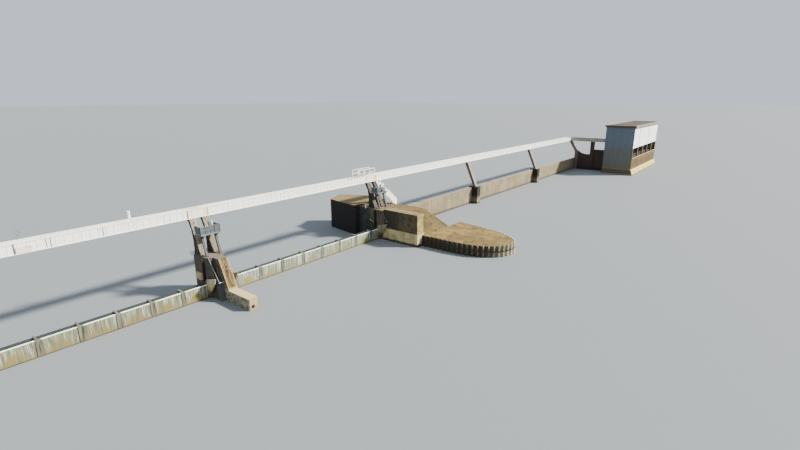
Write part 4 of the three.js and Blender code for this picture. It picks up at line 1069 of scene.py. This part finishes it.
panel_white = rendered("panel_white", (252, 252, 247), (70, 53, 13), (142, 136, 122), (88, 100, 109), 1.09)
for side in ("left", "right", "upstream", "downstream"):
    dress("powerhouse_%s_wall" % side, panel_white)


def base_marks(place, facing, colour):
    """A brown river face, dark partly as painted shade, paler at its foot, a greyer back, and a lichen band
    along the sunny slope.
    """
    level, left, back = axes(place).z, against(facing.x), ease(facing.y, 0.4, 0.8)
    cloud = noise(place, 7.0, 6.0, 0.65)
    brown = blended(ease(level, 0.03, 0.05), (134, 132, 132), (88, 84, 92))
    band = (1 - left) * (1 - back) * ease(level + 0.02 * cloud, 0.105, 0.12) * (1 - ease(level, 0.15, 0.165))
    # Painted shade in part: the left faces take a dark brown.
    return colour.over((left * 0.9, brown), (back * 0.75, (124, 122, 138)), (band * 0.6, (176, 146, 84)))


base_concrete = concrete("base_concrete", (248, 232, 182), (226, 204, 146), (150, 124, 74), (64, 60, 54),
                         (200, 190, 168), runs=0.35, west_shade=1.2, tide=0.05, boards=0.3, bays=0.9,
                         marks=base_marks, tone=(0.9, 0.83, 0.48))
dress("powerhouse_base", base_concrete)
inside_concrete = concrete("inside_concrete", (110, 106, 98), (86, 82, 76), (54, 50, 44), (44, 42, 38),
                           (84, 80, 72), runs=0.4, west_shade=0.3, tide=-1.0)
dress("powerhouse_lower_floor", inside_concrete)
dress("powerhouse_upper_floor", inside_concrete)

roof_low, roof_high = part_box("powerhouse_roof")


def roof_marks(place, facing, colour):
    """A cream upper edge with a painted shadow line under it, painted shade on the left fascia, and a grey
    felt covering inside the rim.
    """
    below = roof_high.z - axes(place).z
    up = ease(facing.z, 0.5, 0.9)
    fascia = (1 - up) * ease(below, 0.022, 0.026)
    cloud = noise(place, 1.6, 6.0, 0.6)
    line = fascia * (1 - ease(below, 0.034, 0.038))
    grey = blended(ease(cloud, 0.4, 0.6), (76, 70, 62), (94, 87, 75))
    return colour.over(
        # Painted shade on the left fascia, and a painted shadow line under the cream edge.
        (fascia * against(facing.x) * 0.9, (70, 60, 54)),
        (line * 0.85, (84, 72, 60)),
        (up * ease(below, 0.003, 0.006), grey))


roof_concrete = concrete("roof_concrete", (240, 224, 190), (214, 198, 164), (150, 134, 108), (190, 176, 150),
                         (214, 198, 168), runs=0.2, west_shade=0.3, dust=0.6, tide=-1.0, boards=0.5, bays=1.14,
                         marks=roof_marks, tone=(0.42, 0.4, 0.38))
roof = block(roof_low.x, roof_high.x, roof_low.y, roof_high.y, roof_low.z, roof_high.z)
top_insets = ((0.036, 0.0), (0.004, -0.016))
drip_insets = ((0.012, 0.0), (0.010, -0.006), (0.010, 0.006))
for way, insets in ((1, top_insets), (-1, drip_insets)):
    chosen(roof, lambda face: face.normal.z * way > 0.9)
    for border, depth in insets:
        bpy.ops.mesh.inset(thickness=border, depth=depth)
    bpy.ops.object.mode_set(mode="OBJECT")
fixed("powerhouse_roof_tray", [softened(roof, 0.0015)], roof_concrete)
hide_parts("powerhouse_roof")

frame_dark = steel("frame_dark", (84, 84, 80), (66, 64, 60), (110, 100, 82), (104, 68, 42), 0.74, 0.4)
wall_low, wall_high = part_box("powerhouse_downstream_wall")
openings, post_width = 5, 0.110
opening_pitch = (wall_high.x - wall_low.x - 0.1) / openings
width, foot, tall = opening_pitch - post_width, 0.699, 0.392
third = width / 3
frames, sills = [], []
for index in range(openings):
    x = wall_low.x + 0.05 + index * opening_pitch + post_width / 2
    *border, post = bars(x, wall_low.y + 0.018, foot, (-0.001, 0.014, 0, 0.008, 0, tall),
                         (width - 0.014, width + 0.001, 0, 0.008, 0, tall), (0, width, 0, 0.008, 0, 0.013),
                         (0, width, 0, 0.008, tall - 0.013, tall),
                         (third - 0.006, third + 0.006, 0, 0.008, 0.006, tall - 0.006))
    frames += border + [in_row(post, 2, (third, 0, 0))]
    sills += bars(x, wall_low.y, foot, (-0.012, width + 0.012, -0.012, 0.016, -0.012, 0, 0.002))
fixed("powerhouse_frames", frames, frame_dark)
fixed("powerhouse_sills", sills, base_concrete)

door_low, door_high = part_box("powerhouse_door")
dress("powerhouse_door", frame_dark)
width = door_high.x - door_low.x
knob_x, knob_z = door_high.x - 0.012, door_low.z + 0.102
plates = bars(door_low.x, door_high.y, door_low.z, (0.012, width - 0.012, -0.0005, 0.002, 0.012, 0.095),
              (0.012, width - 0.012, -0.0005, 0.002, 0.110, 0.212))
trim = [sunk(plate, Vector((0, 1, 0)), 0.008, 0.001) for plate in plates]
trim.append(rod((knob_x, door_high.y, knob_z), (knob_x, door_high.y + 0.008, knob_z), 0.0025))
trim += bars(knob_x, door_high.y, knob_z, (-0.014, 0.002, 0.006, 0.009, -0.002, 0.002))
fixed("powerhouse_door_trim", trim, frame_dark)

# Floor, light and camera.
# The floor is plain and pale. The camera looks down on the barrage from over the tail water.
deselect()
bpy.ops.mesh.primitive_plane_add(size=400, location=(0, 0, -0.0005))
floor = bpy.context.object
floor.name = "floor"
pale = bpy.data.materials.new("pale_floor")
pale.use_nodes = True
pale_shader = pale.node_tree.nodes["Principled BSDF"]
pale_shader.inputs["Base Color"].default_value = shade(118, 123, 126)
pale_shader.inputs["Roughness"].default_value = 0.9
floor.data.materials.append(pale)

world = bpy.data.worlds.new("studio")
bpy.context.scene.world = world
world.use_nodes = True
sky = world.node_tree.nodes["Background"]
sky.inputs["Color"].default_value = (0.78, 0.86, 1.0, 1.0)
sky.inputs["Strength"].default_value = 0.95
bpy.ops.object.light_add(type="SUN", location=(0, 0, 20))
sun = bpy.context.object
sun.data.energy = 12.8
sun.data.angle = math.radians(6)
sun.data.color = (1.0, 0.96, 0.88)
to_sun = Vector((0.50, -0.60, 0.62))
sun.rotation_euler = to_sun.to_track_quat("Z", "Y").to_euler()

looks_down, heading = 15.5, 38.6
focal_length, picture_width = 462, 800
bpy.ops.object.camera_add(location=(east, north - 7.100, 3.124))
camera = bpy.context.object
camera.rotation_euler = (math.radians(90 - looks_down), 0, math.radians(heading - 90))
camera.data.sensor_width = 36.0
camera.data.lens = camera.data.sensor_width * focal_length / picture_width
camera.data.clip_end = 500
bpy.context.scene.camera = camera
